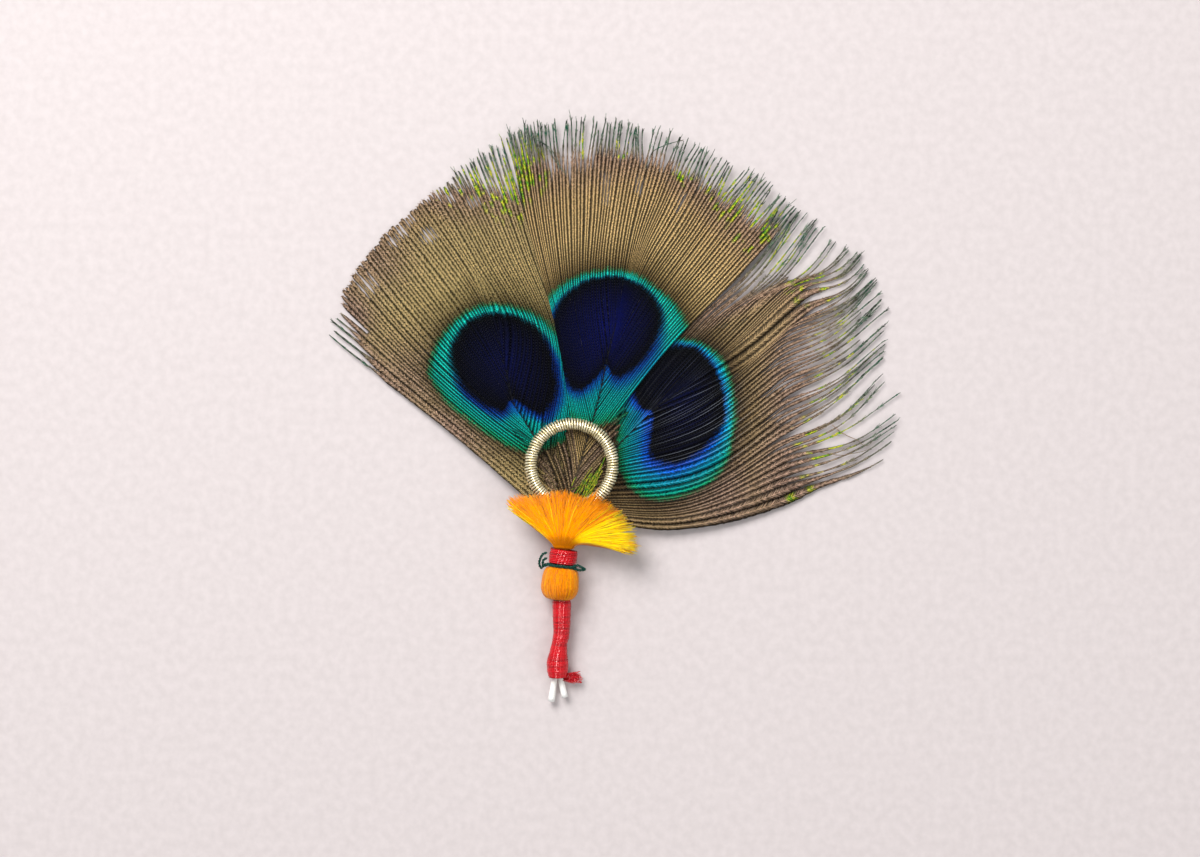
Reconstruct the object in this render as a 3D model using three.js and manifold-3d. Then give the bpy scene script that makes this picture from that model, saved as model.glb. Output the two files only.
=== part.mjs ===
// Tied plume of three peacock eye feathers: the shafts are bound into one stem that carries a silk tassel,
// and a ring of coiled wire lies on the foot of the fan.
// Millimetres, +Z up. The plume lies on its back on the plane z = 0, stem towards -Y.
// Plan positions are measured from the centre of the ring; the finished group is moved so that its origin is
// the centre of the underside of the bounding box.
import * as THREE from 'three';
import { ParametricGeometry } from 'three/addons/geometries/ParametricGeometry.js';
import { mergeGeometries, mergeVertices } from 'three/addons/utils/BufferGeometryUtils.js';
import Module from 'manifold-3d';

// ---------- driving dimensions ----------

const GAP = 0.15;                  // clearance between neighbouring pieces
const TIGHT_GAP = 0.08;            // between the shafts and the thread wound on them
const SURFACE_GAP = 0.01;          // under the tips of the vanes

const RING_RADIUS = 6.9;           // to the middle of the coil
const COIL_RADIUS = 1.05;

const VANE_THICKNESS = 0.3;
const LOCK_RIDGE = 0.1;            // height of a lock's middle over its edges
const JOINED_ROWS = 3;             // steps along a lock up to its dense end
const BLADE_ROWS = 2;              // and on to its tip
const BLADE_TIP_WIDTH = 0.25;      // of the lock's width
const ROOT_OFFSET = 0.1;           // of a barb line from its shaft's axis
const SHAFT_RIDGE = 0.08;          // how far a shaft stands above its vane
const SHAFT_RADIUS = { stem: 0.42, end: 0.22 };
const SHAFT_STEP = 4.5;
const SHAFT_SIDES = 6;
const FAN_NECK = new THREE.Vector2(-1.5, -15.5);
const FAN_REACH = { far: 75, heading: 10, narrowing: 0.0055 };   // from the neck, longest at the heading
const FAN_HEIGHT = 2.64;           // fall of the vanes from the neck to the tips
const CENTRE_LIFT = { tip: 0.6, neck: 1.05 };    // centre feather above the other two

const STEM_HEIGHT = 2.55;          // side shafts at the neck
const STEM_SLOPE = 0.055;          // fall of the stem per millimetre towards its cut end
const SHAFT_SPREAD = 0.5;          // side shafts from the stem's axis
const SHAFT_STACK = 0.85;          // centre shaft above the side shafts
const BUNDLE_RISE = 0.38;          // stem's axis above the side shafts
const CENTRE_CUT = -34.6;          // the centre shaft ends here, inside the wrapping

const HEAD_MIDDLE = [-1.95, -19.6];
const HEAD_TILT = -5;              // degrees in plan
const HEAD_RADIUS = 3.18;
const HEAD_HEIGHT = 2.85;          // axis of the tassel's head above the surface
const WAIST_RADIUS = 1.75;
const SKIRT_FOOT = new THREE.Vector2(-1.3, -15.2);
const SKIRT_START = 1.5;           // from the foot to where the strands begin to spread
const SKIRT_OVER = { reach: 1, foot: [2.9, 4.5], middle: [4.25, 6.5], hem: [4, 6.4] };
const SKIRT_UNDER = { reach: 0.6, foot: [1.2, 2.8], middle: [0.3, 1.6], hem: [0.1, 1.1] };

const NECK = [-1.45, -15.5];
const NECK_TILT = -7.5;            // degrees in plan
const STEM_WRAP_TOP = -22.95;      // just below the tassel's head
const FRAYED_HEIGHT = [1, 1.8];
const THREAD_RADIUS = 0.2;
const TIE_BELOW_NECK = 1.6;        // from the neck wrap's middle to the tie
const TIE_RADIUS = 2.28;           // the tie's ring around the neck

// ---------- points chosen by hand ----------

// Axis of the stem in plan, from the fan to the cut ends.
const STEM_AXIS = [[-1.45, -14], [-1.45, -15.5], [-1.8, -19.6], [-1.7, -22.8], [-1.75, -28.3],
  [-2.05, -30], [-2.4, -33.1], [-2.4, -36]];

// A feather: the shaft's path in plan above the neck, the far ends of the quill below the wrap, and the
// barb lines that shape the vane, clockwise. A barb line leaves the shaft `back` millimetres from the
// shaft's end, on the side given, passes two points at a third and two thirds of its length and ends at its
// tip; `dense` is the fraction of it that stays joined to its neighbours.
const FEATHERS = {
  left: {
    side: -1, quill: [[-3.1, -37.2], [-3.5, -40.1]], quillRadius: 0.58,
    shaft: [[-2, -6], [-3.2, -0.9], [-5.3, 3.1], [-7.7, 6.9], [-9.9, 10.5], [-11.1, 15.7], [-12.4, 21.2],
      [-13.9, 25.9]],
    locks: 24,
    barbs: [
      { back: 39, mid: [[-15.6, 1.4], [-28.7, 11.8]], tip: [-41.7, 22], dense: 0.93 },
      { back: 34, mid: [[-15.5, 5.5], [-28.4, 16.4]], tip: [-40.1, 27.3], dense: 0.93 },
      { back: 25.5, mid: [[-16, 10.8], [-26.7, 21]], tip: [-36.9, 32.9], dense: 0.94 },
      { back: 17, mid: [[-16.8, 19.1], [-24.5, 29.3]], tip: [-32.1, 39], dense: 0.95 },
      { back: 10.5, mid: [[-16.6, 25.2], [-22.6, 33.4]], tip: [-29.1, 41.7], dense: 0.95 },
      { back: 0, mid: [[-17.2, 32], [-21.4, 38.3]], tip: [-25.8, 44.5], dense: 0.95 },
      { back: -12.5, mid: [[-10.2, 24.2], [-16, 34.9]], tip: [-23.1, 47], dense: 0.94 },
      { back: -24.5, mid: [[-3.4, 20.5], [-10, 36.8]], tip: [-16.7, 53.5], dense: 0.85 },
      { back: -31.5, mid: [[-0.2, 17.3], [-4.3, 37.6]], tip: [-8.8, 57.7], dense: 0.86 },
      { back: -35.5, mid: [[2.2, 14.5], [0, 36]], tip: [-5.2, 57.6], dense: 0.86 },
    ],
  },
  centre: {
    side: 0, quill: [], quillRadius: 0.42,
    shaft: [[-0.9, -9.5], [-0.2, -5.5], [0.6, -2.4], [1.6, 0.9], [2.7, 4.6], [3.7, 8], [4.8, 12.3], [5.7, 16.6],
      [7, 22], [8.3, 27.3]],
    locks: 26,
    barbs: [
      { back: 28.5, mid: [[-2.6, 22.4], [-7.3, 39.9]], tip: [-10.9, 57.7], dense: 0.86 },
      { back: 20.5, mid: [[-0.5, 24.4], [-2.5, 41.7]], tip: [-3.4, 59.4], dense: 0.84 },
      { back: 13.5, mid: [[3.1, 29], [3.9, 44.1]], tip: [4.9, 59.4], dense: 0.84 },
      { back: 8, mid: [[5.2, 32.2], [6.6, 45.3]], tip: [8.5, 58.9], dense: 0.83 },
      { back: 3.5, mid: [[8.2, 35.4], [10.2, 46.7]], tip: [12.8, 57.5], dense: 0.82 },
      { back: -1, mid: [[11.2, 38.2], [14.1, 47]], tip: [17, 56.7], dense: 0.82 },
      { back: -5, mid: [[12.2, 35.1], [16.7, 43.8]], tip: [21.8, 54.7], dense: 0.82 },
      { back: -9, mid: [[12.8, 30.5], [20.1, 41.2]], tip: [26.5, 52.1], dense: 0.82 },
      { back: -13.5, mid: [[13.8, 26.1], [22.6, 37.7]], tip: [31.5, 49.7], dense: 0.83 },
      { back: -28, mid: [[15.6, 18.3], [27.7, 30.7]], tip: [40.1, 44.1], dense: 0.85 },
    ],
  },
  right: {
    side: 1, quill: [[-1.7, -37.2], [-1.2, -39.4]], quillRadius: 0.55,
    shaft: [[0, -8.6], [2.2, -4.3], [5.6, 0.8], [8.7, 4.2], [13.4, 8.9], [17, 11.6], [20.6, 14.2]],
    locks: 28,
    barbs: [
      { back: 26.5, mid: [[11.2, 12.2], [23, 26]], tip: [38, 43.6], dense: 0.75 },
      { back: 18, mid: [[15.2, 14.5], [27.5, 27]], tip: [42.2, 41.8], dense: 0.7 },
      { back: 9, mid: [[24.3, 18.8], [34.9, 29.2]], tip: [46.4, 38.5], dense: 0.7 },
      { back: 0, mid: [[29.8, 21.7], [38.9, 29.8]], tip: [49.3, 36.5], dense: 0.68 },
      { back: -8, mid: [[27.4, 15.7], [38.4, 24.6]], tip: [50.5, 34.4], dense: 0.68 },
      { back: -16, mid: [[23, 11.1], [36.2, 21.8]], tip: [51.9, 32.4], dense: 0.66 },
      { back: -23.5, mid: [[22.3, 2.3], [38.2, 13.2]], tip: [54.6, 24.2], dense: 0.62 },
      { back: -27.8, mid: [[20.6, -3.8], [37.4, 6.6]], tip: [54.4, 18.4], dense: 0.62 },
      { back: -29.3, mid: [[19.7, -6.7], [37.6, 2.3]], tip: [56.4, 12.2], dense: 0.64 },
      { back: -30.1, mid: [[18.2, -8.8], [36, -3]], tip: [54.4, 5.8], dense: 0.68 },
      { back: -31, mid: [[16.3, -11.5], [34.5, -8.4]], tip: [51.3, 0.6], dense: 0.8 },
    ],
  },
};

// The skirt's reach from its foot, by direction in degrees clockwise from +Y.
const SKIRT_REACH = [[-50, 12.4], [-42, 13.2], [-25, 11.2], [0, 10.9], [18, 10.4], [35, 11.5], [57, 12.2],
  [80, 12.6], [90, 11.9]];

// Profiles of the tassel's head and waist: radius, distance along the axis from the middle.
const HEAD_PROFILE = [[0, -3.15], [1.5, -3.15], [2.3, -2.9], [2.9, -2.2], [HEAD_RADIUS, -1.2], [3.15, -0.2],
  [3.05, 0.9], [2.8, 1.7], [2.4, 2.15], [1.4, 2.5], [0, 2.5]];
const WAIST_PROFILE = [[0, -2.2], [WAIST_RADIUS, -2.2], [WAIST_RADIUS, 2.2], [0, 2.2]];

// Outer radius of the stem's wrapping, by distance along the stem from just below the tassel's head.
const STEM_WRAP_PROFILE = [[1.5, 0], [1.6, 0.3], [1.55, 3], [1.42, 5.5], [1.32, 7.4], [1.55, 9], [1.87, 10.4],
  [1.8, 12], [1.6, 12.9], [1.35, 13.1]];

// Frayed end of the wrapping thread, in plan.
const FRAYED_END = [[-1.5, -35.2], [-0.4, -35.5], [1.5, -35.2], [1.95, -35.6], [1.75, -36.1], [2, -36.6],
  [1.6, -37.2], [0.3, -37], [-1, -36.8]];

// Loops of the tie, each from the ring around the neck outward and back.
const TIE_LOOPS = [
  [[-3.6, -16.75, 2.6], [-4.5, -16.85, 2.5], [-5.2, -17.4, 2.4], [-5.5, -16.5, 2.8], [-5, -15.2, 3.1],
    [-4.2, -14.8, 3.1]],
  [[-3.6, -16.7, 3.1], [-4.8, -17, 3], [-4.8, -16.1, 3.2], [-4.2, -15.7, 3.3]],
  [[0.2, -17.2, 4.4], [0.9, -16.9, 4.3], [2.2, -17.6, 3.9], [1.1, -17.7, 3.9], [0.3, -17.4, 4.3]],
];

// ---------- solids ----------

const wasm = await Module();
wasm.setup();

const UP = new THREE.Vector3(0, 0, 1);
const { lerp, clamp, degToRad, smoothstep } = THREE.MathUtils;
const vector = ([x, y, z = 0]) => new THREE.Vector3(x, y, z);
const curve = (points) => new THREE.CatmullRomCurve3(points.map(vector), false, 'catmullrom', 0.5);

function weld(geometry) {
  const bare = geometry.clone();
  bare.deleteAttribute('normal');
  bare.deleteAttribute('uv');
  return mergeVertices(bare, 1e-4);
}

// A closed geometry as a solid; triangles that welding has shrunk to a line are left out.
function solid(geometry) {
  const welded = weld(geometry);
  const corners = [];
  for (let i = 0; i < welded.index.count; i += 3) {
    const [a, b, c] = [i, i + 1, i + 2].map((at) => welded.index.getX(at));
    if (a !== b && b !== c && c !== a) corners.push(a, b, c);
  }
  const mesh = { numProp: 3, vertProperties: new Float32Array(welded.attributes.position.array) };
  return new wasm.Manifold(new wasm.Mesh({ ...mesh, triVerts: new Uint32Array(corners) }));
}

function geometryOf(manifold) {
  const { vertProperties, triVerts } = manifold.getMesh();
  const geometry = new THREE.BufferGeometry();
  geometry.setAttribute('position', new THREE.BufferAttribute(vertProperties, 3));
  geometry.setIndex(new THREE.BufferAttribute(triVerts, 1));
  return geometry;
}

const join = (solids) => solids.reduce((whole, next) => whole.add(next));

// Moves every vertex of a geometry to move(vertex).
function warp(geometry, move) {
  const position = geometry.attributes.position;
  const vertex = new THREE.Vector3();
  for (let i = 0; i < position.count; i++) {
    const moved = move(vertex.fromBufferAttribute(position, i));
    position.setXYZ(i, moved.x, moved.y, moved.z);
  }
  return geometry;
}

// Closes an open sheet into a plate by adding its underside and a wall along each free edge.
function thicken(sheet, thickness) {
  const top = weld(sheet);
  const { array, count } = top.attributes.position;
  const under = top.clone().translate(0, 0, -thickness).attributes.position.array;
  const index = [];
  const edges = new Map();
  for (let i = 0; i < top.index.count; i += 3) {
    const [a, b, c] = [i, i + 1, i + 2].map((at) => top.index.getX(at));
    index.push(a, b, c, c + count, b + count, a + count);
    for (const edge of [[a, b], [b, c], [c, a]]) edges.set(edge.join(), edge);
  }
  for (const [from, to] of edges.values()) {
    if (!edges.has([to, from].join())) index.push(to, from, from + count, to, from + count, to + count);
  }
  const plate = new THREE.BufferGeometry();
  plate.setAttribute('position', new THREE.Float32BufferAttribute([...array, ...under], 3));
  plate.setIndex(index);
  return plate;
}

// A round rod laid along a path; its profile lists [radius, distance along the path] from end to end.
function rodAlong(path, profile, sides) {
  const rod = new THREE.LatheGeometry(profile.map(([radius, at]) => new THREE.Vector2(radius, at)), sides);
  const length = path.getLength();
  return warp(rod, ({ x, y, z }) => {
    const at = clamp(y / length, 0, 1);
    const forward = path.getTangentAt(at);
    const across = new THREE.Vector3().crossVectors(forward, UP).normalize();
    const rise = new THREE.Vector3().crossVectors(across, forward);
    return path.getPointAt(at).addScaledVector(across, x).addScaledVector(rise, z);
  });
}

// A thin round thread of constant section.
function thread(points) {
  const section = new THREE.Shape().absarc(0, 0, THREAD_RADIUS, 0, 2 * Math.PI);
  const extrudePath = curve(points);
  return new THREE.ExtrudeGeometry(section, { extrudePath, steps: 2 * points.length, curveSegments: 3 });
}

// ---------- the fan's heights ----------

// Distance from the neck as a fraction of the fan's reach in that direction.
function fanFraction(x, y) {
  const [dx, dy] = [x - FAN_NECK.x, y - FAN_NECK.y];
  const direction = THREE.MathUtils.radToDeg(Math.atan2(dx, dy));
  const reach = FAN_REACH.far - FAN_REACH.narrowing * (direction - FAN_REACH.heading) ** 2;
  return Math.min(1, Math.hypot(dx, dy) / reach);
}

// Height of a vane's middle layer; the side vanes come down to the surface at their tips.
function vaneHeight(x, y, isCentre) {
  const rest = 1 - fanFraction(x, y);
  const lift = isCentre ? lerp(CENTRE_LIFT.tip, CENTRE_LIFT.neck, rest ** 2) : 0;
  return VANE_THICKNESS / 2 + SURFACE_GAP + FAN_HEIGHT * rest ** 1.2 + lift;
}

// Height of the side shafts inside the stem.
const stemHeight = (y) => STEM_HEIGHT + STEM_SLOPE * (y - FAN_NECK.y);

// ---------- feathers ----------

function shaftPath({ side, quill, shaft }) {
  const isCentre = side === 0;
  const stack = isCentre ? SHAFT_STACK : 0;
  const low = quill.map(([x, y]) => [x, y, stemHeight(y)]).reverse();
  const stem = [...STEM_AXIS].reverse().map(([x, y]) => [x, isCentre ? Math.max(y, CENTRE_CUT) : y])
    .map(([x, y]) => [x + side * SHAFT_SPREAD, y, stemHeight(y) + stack]);
  const fan = shaft.map(([x, y]) => [x, y, vaneHeight(x, y, isCentre) + VANE_THICKNESS / 2 + SHAFT_RIDGE
    - lerp(SHAFT_RADIUS.end, SHAFT_RADIUS.stem, 1 - fanFraction(x, y))]);
  return curve([...low, ...stem, ...fan]);
}

function shaftProfile(path, quillRadius, grow) {
  const length = path.getLength();
  const radius = (at) => {
    const { x, y } = path.getPointAt(at / length);
    const inFan = y > FAN_NECK.y ? fanFraction(x, y) : 0;
    const taper = inFan * (SHAFT_RADIUS.end - SHAFT_RADIUS.stem);
    return lerp(quillRadius, SHAFT_RADIUS.stem, smoothstep(at, 0, 5)) + taper + grow;
  };
  const steps = Math.round(length / SHAFT_STEP);
  const stations = Array.from({ length: steps + 1 }, (_, i) => (length * i) / steps);
  return [[0, 0], ...stations.map((at) => [radius(at), at]), [0, length]];
}

function shaftSolid(feather, grow = 0) {
  const path = shaftPath(feather);
  return solid(rodAlong(path, shaftProfile(path, feather.quillRadius, grow), SHAFT_SIDES));
}

// The barb lines of a vane as a function (across the vane, along the line) -> point in plan. `along` runs
// from 0 at the shaft to 1 where the barbs come apart and on to 2 at their tips.
function barbField(feather) {
  const path = shaftPath(feather);
  const length = path.getLength();
  const { barbs } = feather;
  const tips = curve(barbs.map(({ tip }) => tip));
  const mids = [0, 1].map((i) => curve(barbs.map(({ mid }) => mid[i])));
  const between = (key, at) => {
    const i = Math.min(Math.floor(at * (barbs.length - 1)), barbs.length - 2);
    return lerp(barbs[i][key], barbs[i + 1][key], at * (barbs.length - 1) - i);
  };
  const root = (back) => {
    const station = 1 - Math.abs(back) / length;
    const forward = path.getTangentAt(station);
    const aside = clamp(back / 4, -1, 1) * ROOT_OFFSET;
    return path.getPointAt(station).add(new THREE.Vector3(-forward.y * aside, forward.x * aside, 0)).setZ(0);
  };
  return (across, along) => {
    const at = tips.getUtoTmapping(across);
    const line = curve([root(between('back', at)), ...mids.map((mid) => mid.getPoint(at)), tips.getPoint(at)]
      .map((point) => point.toArray()));
    const dense = between('dense', at);
    return line.getPoint(along < 1 ? along * dense : lerp(dense, 1, along - 1));
  };
}

// One lock: joined to its neighbours up to its dense end, then a blade that narrows to its tip.
function lockSheet(field, number, locks, isCentre) {
  const rows = JOINED_ROWS + BLADE_ROWS;
  return new ParametricGeometry((u, v, target) => {
    const row = Math.round(v * rows);
    const blade = Math.max(0, row - JOINED_ROWS) / BLADE_ROWS;
    const width = lerp(1, BLADE_TIP_WIDTH, blade);
    const across = blade > 0 ? (number + 0.5 + (u - 0.5) * width) / locks : (number + u) / locks;
    const { x, y } = field(across, blade > 0 ? 1 + blade : row / JOINED_ROWS);
    const ridge = LOCK_RIDGE * (1 - Math.abs(2 * u - 1));
    target.set(x, y, vaneHeight(x, y, isCentre) + VANE_THICKNESS / 2 + ridge);
  }, 2, rows);
}

function featherSolid(feather) {
  const field = barbField(feather);
  const sheets = Array.from({ length: feather.locks }, (_, i) => (
    lockSheet(field, i, feather.locks, feather.side === 0)));
  return solid(thicken(mergeGeometries(sheets), VANE_THICKNESS)).add(shaftSolid(feather));
}

// ---------- ring ----------

// The ring lies on the centre shaft, which crosses under it at these two points.
const RING_NORTH = [3.4, 6.9];
const RING_SOUTH = [-0.6, -6.9];

function ringGeometry(grow = 0) {
  const shaftTop = ([x, y]) => vaneHeight(x, y, true) + VANE_THICKNESS / 2 + SHAFT_RIDGE;
  const [north, south] = [shaftTop(RING_NORTH), shaftTop(RING_SOUTH)];
  const tilt = Math.atan2(north - south, RING_NORTH[1] - RING_SOUTH[1]);
  return new THREE.TorusGeometry(RING_RADIUS, COIL_RADIUS + grow, 8, 36)
    .rotateX(tilt).translate(0, 0, (north + south) / 2 + GAP + COIL_RADIUS);
}

// ---------- tassel ----------

// A layer of the skirt, over the fan or under it: a unit cylinder whose length runs from the waist to the
// hem and whose section is spread sideways and pressed between the heights `foot`, `middle` and `hem`.
function skirtLayer({ reach, foot, middle, hem }) {
  const reaches = new THREE.SplineCurve(SKIRT_REACH.map(([at, length]) => new THREE.Vector2(at, length)));
  return warp(new THREE.CylinderGeometry(1, 1, 1, 16, 6), ({ x, y, z }) => {
    const along = y + 0.5;
    const hemPoint = reaches.getPoint((x + 1) / 2);
    const direction = degToRad(hemPoint.x);
    const start = vector([SKIRT_FOOT.x + x * WAIST_RADIUS * 0.9, SKIRT_FOOT.y + SKIRT_START]);
    const bend = vector([start.x + x * 0.9, start.y + 2.4]);
    const end = vector([SKIRT_FOOT.x + Math.sin(direction) * hemPoint.y * reach,
      SKIRT_FOOT.y + Math.cos(direction) * hemPoint.y * reach]);
    const [low, high] = [0, 1].map((i) => (
      lerp(lerp(foot[i], middle[i], smoothstep(along, 0, 0.4)), hem[i], smoothstep(along, 0.4, 1))));
    return new THREE.QuadraticBezierCurve3(start, bend, end).getPoint(along).setZ(lerp(low, high, (z + 1) / 2));
  });
}

// A turned shape whose own axis lies along the stem, tilted in plan by `tilt` degrees.
function turned(profile, [x, y], tilt, sides = 16) {
  return new THREE.LatheGeometry(profile.map(([radius, at]) => new THREE.Vector2(radius, at)), sides)
    .rotateZ(degToRad(tilt)).translate(x, y, HEAD_HEIGHT);
}

function tasselSolid() {
  const silk = join([
    solid(turned(HEAD_PROFILE, HEAD_MIDDLE, HEAD_TILT)),
    solid(turned(WAIST_PROFILE, NECK, NECK_TILT)),
    solid(skirtLayer(SKIRT_OVER)),
    solid(skirtLayer(SKIRT_UNDER)),
  ]);
  const shafts = join(Object.values(FEATHERS).map((feather) => shaftSolid(feather, GAP)));
  const surface = solid(new THREE.BoxGeometry(40, 40, 4).translate(0, -15, -2));
  return silk.subtract(shafts).subtract(solid(ringGeometry(GAP))).subtract(surface);
}

// ---------- wrappings and tie ----------

const NECK_WRAP_PROFILE = [[WAIST_RADIUS + GAP, -1.2], [2.2, -1.27], [2.38, -0.9], [2.4, 0.9], [2.2, 1.27],
  [WAIST_RADIUS + GAP, 1.2], [WAIST_RADIUS + GAP, -1.2]];

function stemWrapSolid() {
  const below = STEM_AXIS.filter(([, y]) => y < STEM_WRAP_TOP);
  const axis = [[STEM_AXIS[3][0], STEM_WRAP_TOP], ...below];
  const path = curve(axis.map(([x, y]) => [x, y, stemHeight(y) + BUNDLE_RISE]));
  const scale = path.getLength() / STEM_WRAP_PROFILE.at(-1)[1];
  const wall = STEM_WRAP_PROFILE.map(([radius, at]) => [radius, at * scale]);
  const sleeve = solid(rodAlong(path, [[0, 0], ...wall, [0, path.getLength()]], 14));
  const frayed = new THREE.Shape(FRAYED_END.map(([x, y]) => new THREE.Vector2(x, y)));
  const [low, high] = FRAYED_HEIGHT;
  const end = solid(new THREE.ExtrudeGeometry(frayed, { depth: high - low, bevelEnabled: false })
    .translate(0, 0, low));
  const shafts = join(Object.values(FEATHERS).map((feather) => shaftSolid(feather, TIGHT_GAP)));
  return sleeve.add(end).subtract(shafts);
}

function tieSolid() {
  const ring = solid(new THREE.TorusGeometry(TIE_RADIUS, THREAD_RADIUS, 6, 16).rotateX(Math.PI / 2)
    .translate(0, -TIE_BELOW_NECK, 0).rotateZ(degToRad(NECK_TILT)).translate(...NECK, HEAD_HEIGHT));
  return join([ring, ...TIE_LOOPS.map((points) => solid(thread(points)))]);
}

// ---------- the plume ----------

const plume = new THREE.Group();

function addPiece(name, geometry, color, roughness, metalness = 0) {
  const piece = new THREE.Mesh(geometry, new THREE.MeshStandardMaterial({ color, roughness, metalness }));
  piece.name = name;
  plume.add(piece);
}

addPiece('feather_left', geometryOf(featherSolid(FEATHERS.left)), 0x6b5f25, 0.5);
addPiece('feather_centre', geometryOf(featherSolid(FEATHERS.centre)), 0x0f8f86, 0.5);
addPiece('feather_right', geometryOf(featherSolid(FEATHERS.right)), 0x4f5a24, 0.5);
addPiece('gold_ring', weld(ringGeometry()), 0xd8c88a, 0.3, 1);
addPiece('silk_tassel', geometryOf(tasselSolid()), 0xf59a12, 0.45);
addPiece('neck_wrap', weld(turned(NECK_WRAP_PROFILE, NECK, NECK_TILT)), 0xb91c24, 0.35);
addPiece('stem_wrap', geometryOf(stemWrapSolid()), 0xb91c24, 0.35);
addPiece('green_tie', geometryOf(tieSolid()), 0x12332a, 0.6);

const bounds = new THREE.Box3().setFromObject(plume);
const middle = bounds.getCenter(new THREE.Vector3());
plume.position.set(-middle.x, -middle.y, -bounds.min.z);

export default plume;
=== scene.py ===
"""Looks of a tied plume of three peacock eye feathers with a silk tassel and a ring of coiled wire.

Plan positions are millimetres from the centre of the ring, +Y away from the stem, and heights are
millimetres above the surface that the plume lies on. `to_frame` puts them in the part's own frame.
"""

import logging
import math
from collections.abc import Sequence
from dataclasses import dataclass
from enum import Enum

import bmesh
import bpy
import numpy as np
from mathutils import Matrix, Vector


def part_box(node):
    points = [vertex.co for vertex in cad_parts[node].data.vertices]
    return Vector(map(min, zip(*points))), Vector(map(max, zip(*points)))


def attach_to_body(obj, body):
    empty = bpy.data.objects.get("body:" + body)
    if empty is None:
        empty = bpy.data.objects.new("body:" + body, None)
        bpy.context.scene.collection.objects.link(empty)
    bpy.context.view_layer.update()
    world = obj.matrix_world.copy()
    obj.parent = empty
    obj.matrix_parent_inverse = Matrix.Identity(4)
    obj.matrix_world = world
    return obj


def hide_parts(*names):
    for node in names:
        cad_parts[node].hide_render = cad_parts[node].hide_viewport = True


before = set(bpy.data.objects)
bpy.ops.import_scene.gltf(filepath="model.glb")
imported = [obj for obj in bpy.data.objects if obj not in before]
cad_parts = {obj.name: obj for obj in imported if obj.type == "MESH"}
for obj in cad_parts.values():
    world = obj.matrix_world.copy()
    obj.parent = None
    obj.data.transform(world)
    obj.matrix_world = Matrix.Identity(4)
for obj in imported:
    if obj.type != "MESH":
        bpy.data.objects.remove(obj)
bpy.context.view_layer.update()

LOG = logging.getLogger("plume")
MM = 0.001
UV_NAME = "OFBake"
Array = np.ndarray
Socket = bpy.types.NodeSocket
Point = tuple[float, float]
Place = tuple[float, float, float]
UP = np.array([0.0, 0.0, 1.0])
LOWEST = 0.01  # Least height of a piece above the surface, in millimetres.
RNG = np.random.default_rng(20)


# ---------- places ----------


def ring_centre() -> Array:
    """The middle of the ring in the part's frame, in millimetres, at height zero.

    Returns:
        Its x, y and 0.
    """
    low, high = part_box("gold_ring")
    middle = (low + high) / 2 / MM
    return np.array([middle.x, middle.y, 0.0])


RING_CENTRE = ring_centre()


def to_frame(points: Array) -> Array:
    """Turns plan positions and heights in millimetres into metres in the part's frame.

    Args:
        points: any array whose last axis is x, y, z.

    Returns:
        The same points in metres.
    """
    return (np.asarray(points, float) + RING_CENTRE) * MM


def smoothstep(value: Array, low: float, high: float) -> Array:
    """Rises smoothly from 0 at low to 1 at high."""
    share = np.clip((value - low) / (high - low), 0, 1)
    return share * share * (3 - 2 * share)


def mix(start: Array, end: Array, share: Array) -> Array:
    """The value that lies the given share of the way from start to end."""
    return start + (end - start) * share


def unit(vectors: Array) -> Array:
    """The vectors along the last axis, each brought to length 1."""
    return vectors / np.maximum(np.linalg.norm(vectors, axis=-1, keepdims=True), 1e-9)


def quarter_turn(directions: Array) -> Array:
    """Plan directions, each turned a quarter turn to the left."""
    return np.stack([-directions[..., 1], directions[..., 0]], axis=-1)


def left_of(lines: Array) -> Array:
    """The direction to the left of plan lines, at each of their stations."""
    return quarter_turn(unit(np.gradient(lines, axis=1)))


def tilted(tilt: float) -> tuple[Array, Array]:
    """The directions across and along a level axis that is turned from +Y by the given degrees."""
    cosine, sine = math.cos(math.radians(tilt)), math.sin(math.radians(tilt))
    return np.array([cosine, sine, 0.0]), np.array([-sine, cosine, 0.0])


def distances(points: Array) -> Array:
    """How far along a line each of its points lies."""
    steps = np.linalg.norm(np.diff(points, axis=0), axis=1)
    return np.concatenate([[0], np.cumsum(steps)])


def smooth_curve(points: Array, at: Array) -> Array:
    """Points of a Catmull-Rom curve.

    Args:
        points: the points that the curve passes through, in order.
        at: positions along the curve, from 0 at the first point to 1 at the last.

    Returns:
        One point for each position.
    """
    points = np.asarray(points, float)
    ends = (2 * points[:1] - points[1:2], 2 * points[-1:] - points[-2:-1])
    padded = np.concatenate([ends[0], points, ends[1]])
    place = np.clip(np.asarray(at, float), 0, 1) * (len(points) - 1)
    first = np.minimum(place.astype(int), len(points) - 2)
    w = (place - first)[..., None]
    p0, p1, p2, p3 = (padded[first + i] for i in range(4))
    m1, m2 = (p2 - p0) / 2, (p3 - p1) / 2
    rise = w * w * (3 - 2 * w)
    return p1 + (p2 - p1) * rise + m1 * (w * (1 - w) ** 2) + m2 * (w * w * (w - 1))


def even_positions(points: Array, count: int) -> Array:
    """Positions on the smooth curve through the points that are evenly spaced along its length.

    Args:
        points: the points that the curve passes through, in order.
        count: how many positions.

    Returns:
        The positions, from 0 at the first point to 1 at the last.
    """
    fine = np.linspace(0, 1, 800)
    length = distances(smooth_curve(points, fine))
    return np.interp(np.linspace(0, length[-1], count), length, fine)


def even_curve(points: Array, count: int) -> Array:
    """Evenly spaced points on the smooth curve through the points."""
    return smooth_curve(points, even_positions(points, count))


def sample(values: Array, row: Array, place: Array) -> Array:
    """Values between the columns of a table.

    Args:
        values: by row and column.
        row: which row each wanted value is from.
        place: its column, which may lie between two.

    Returns:
        One value, or vector, for each place.
    """
    low = np.minimum(place.astype(int), values.shape[1] - 2)
    share = (place - low).reshape(place.shape + (1,) * (values.ndim - 2))
    return mix(values[row, low], values[row, low + 1], share)


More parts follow.
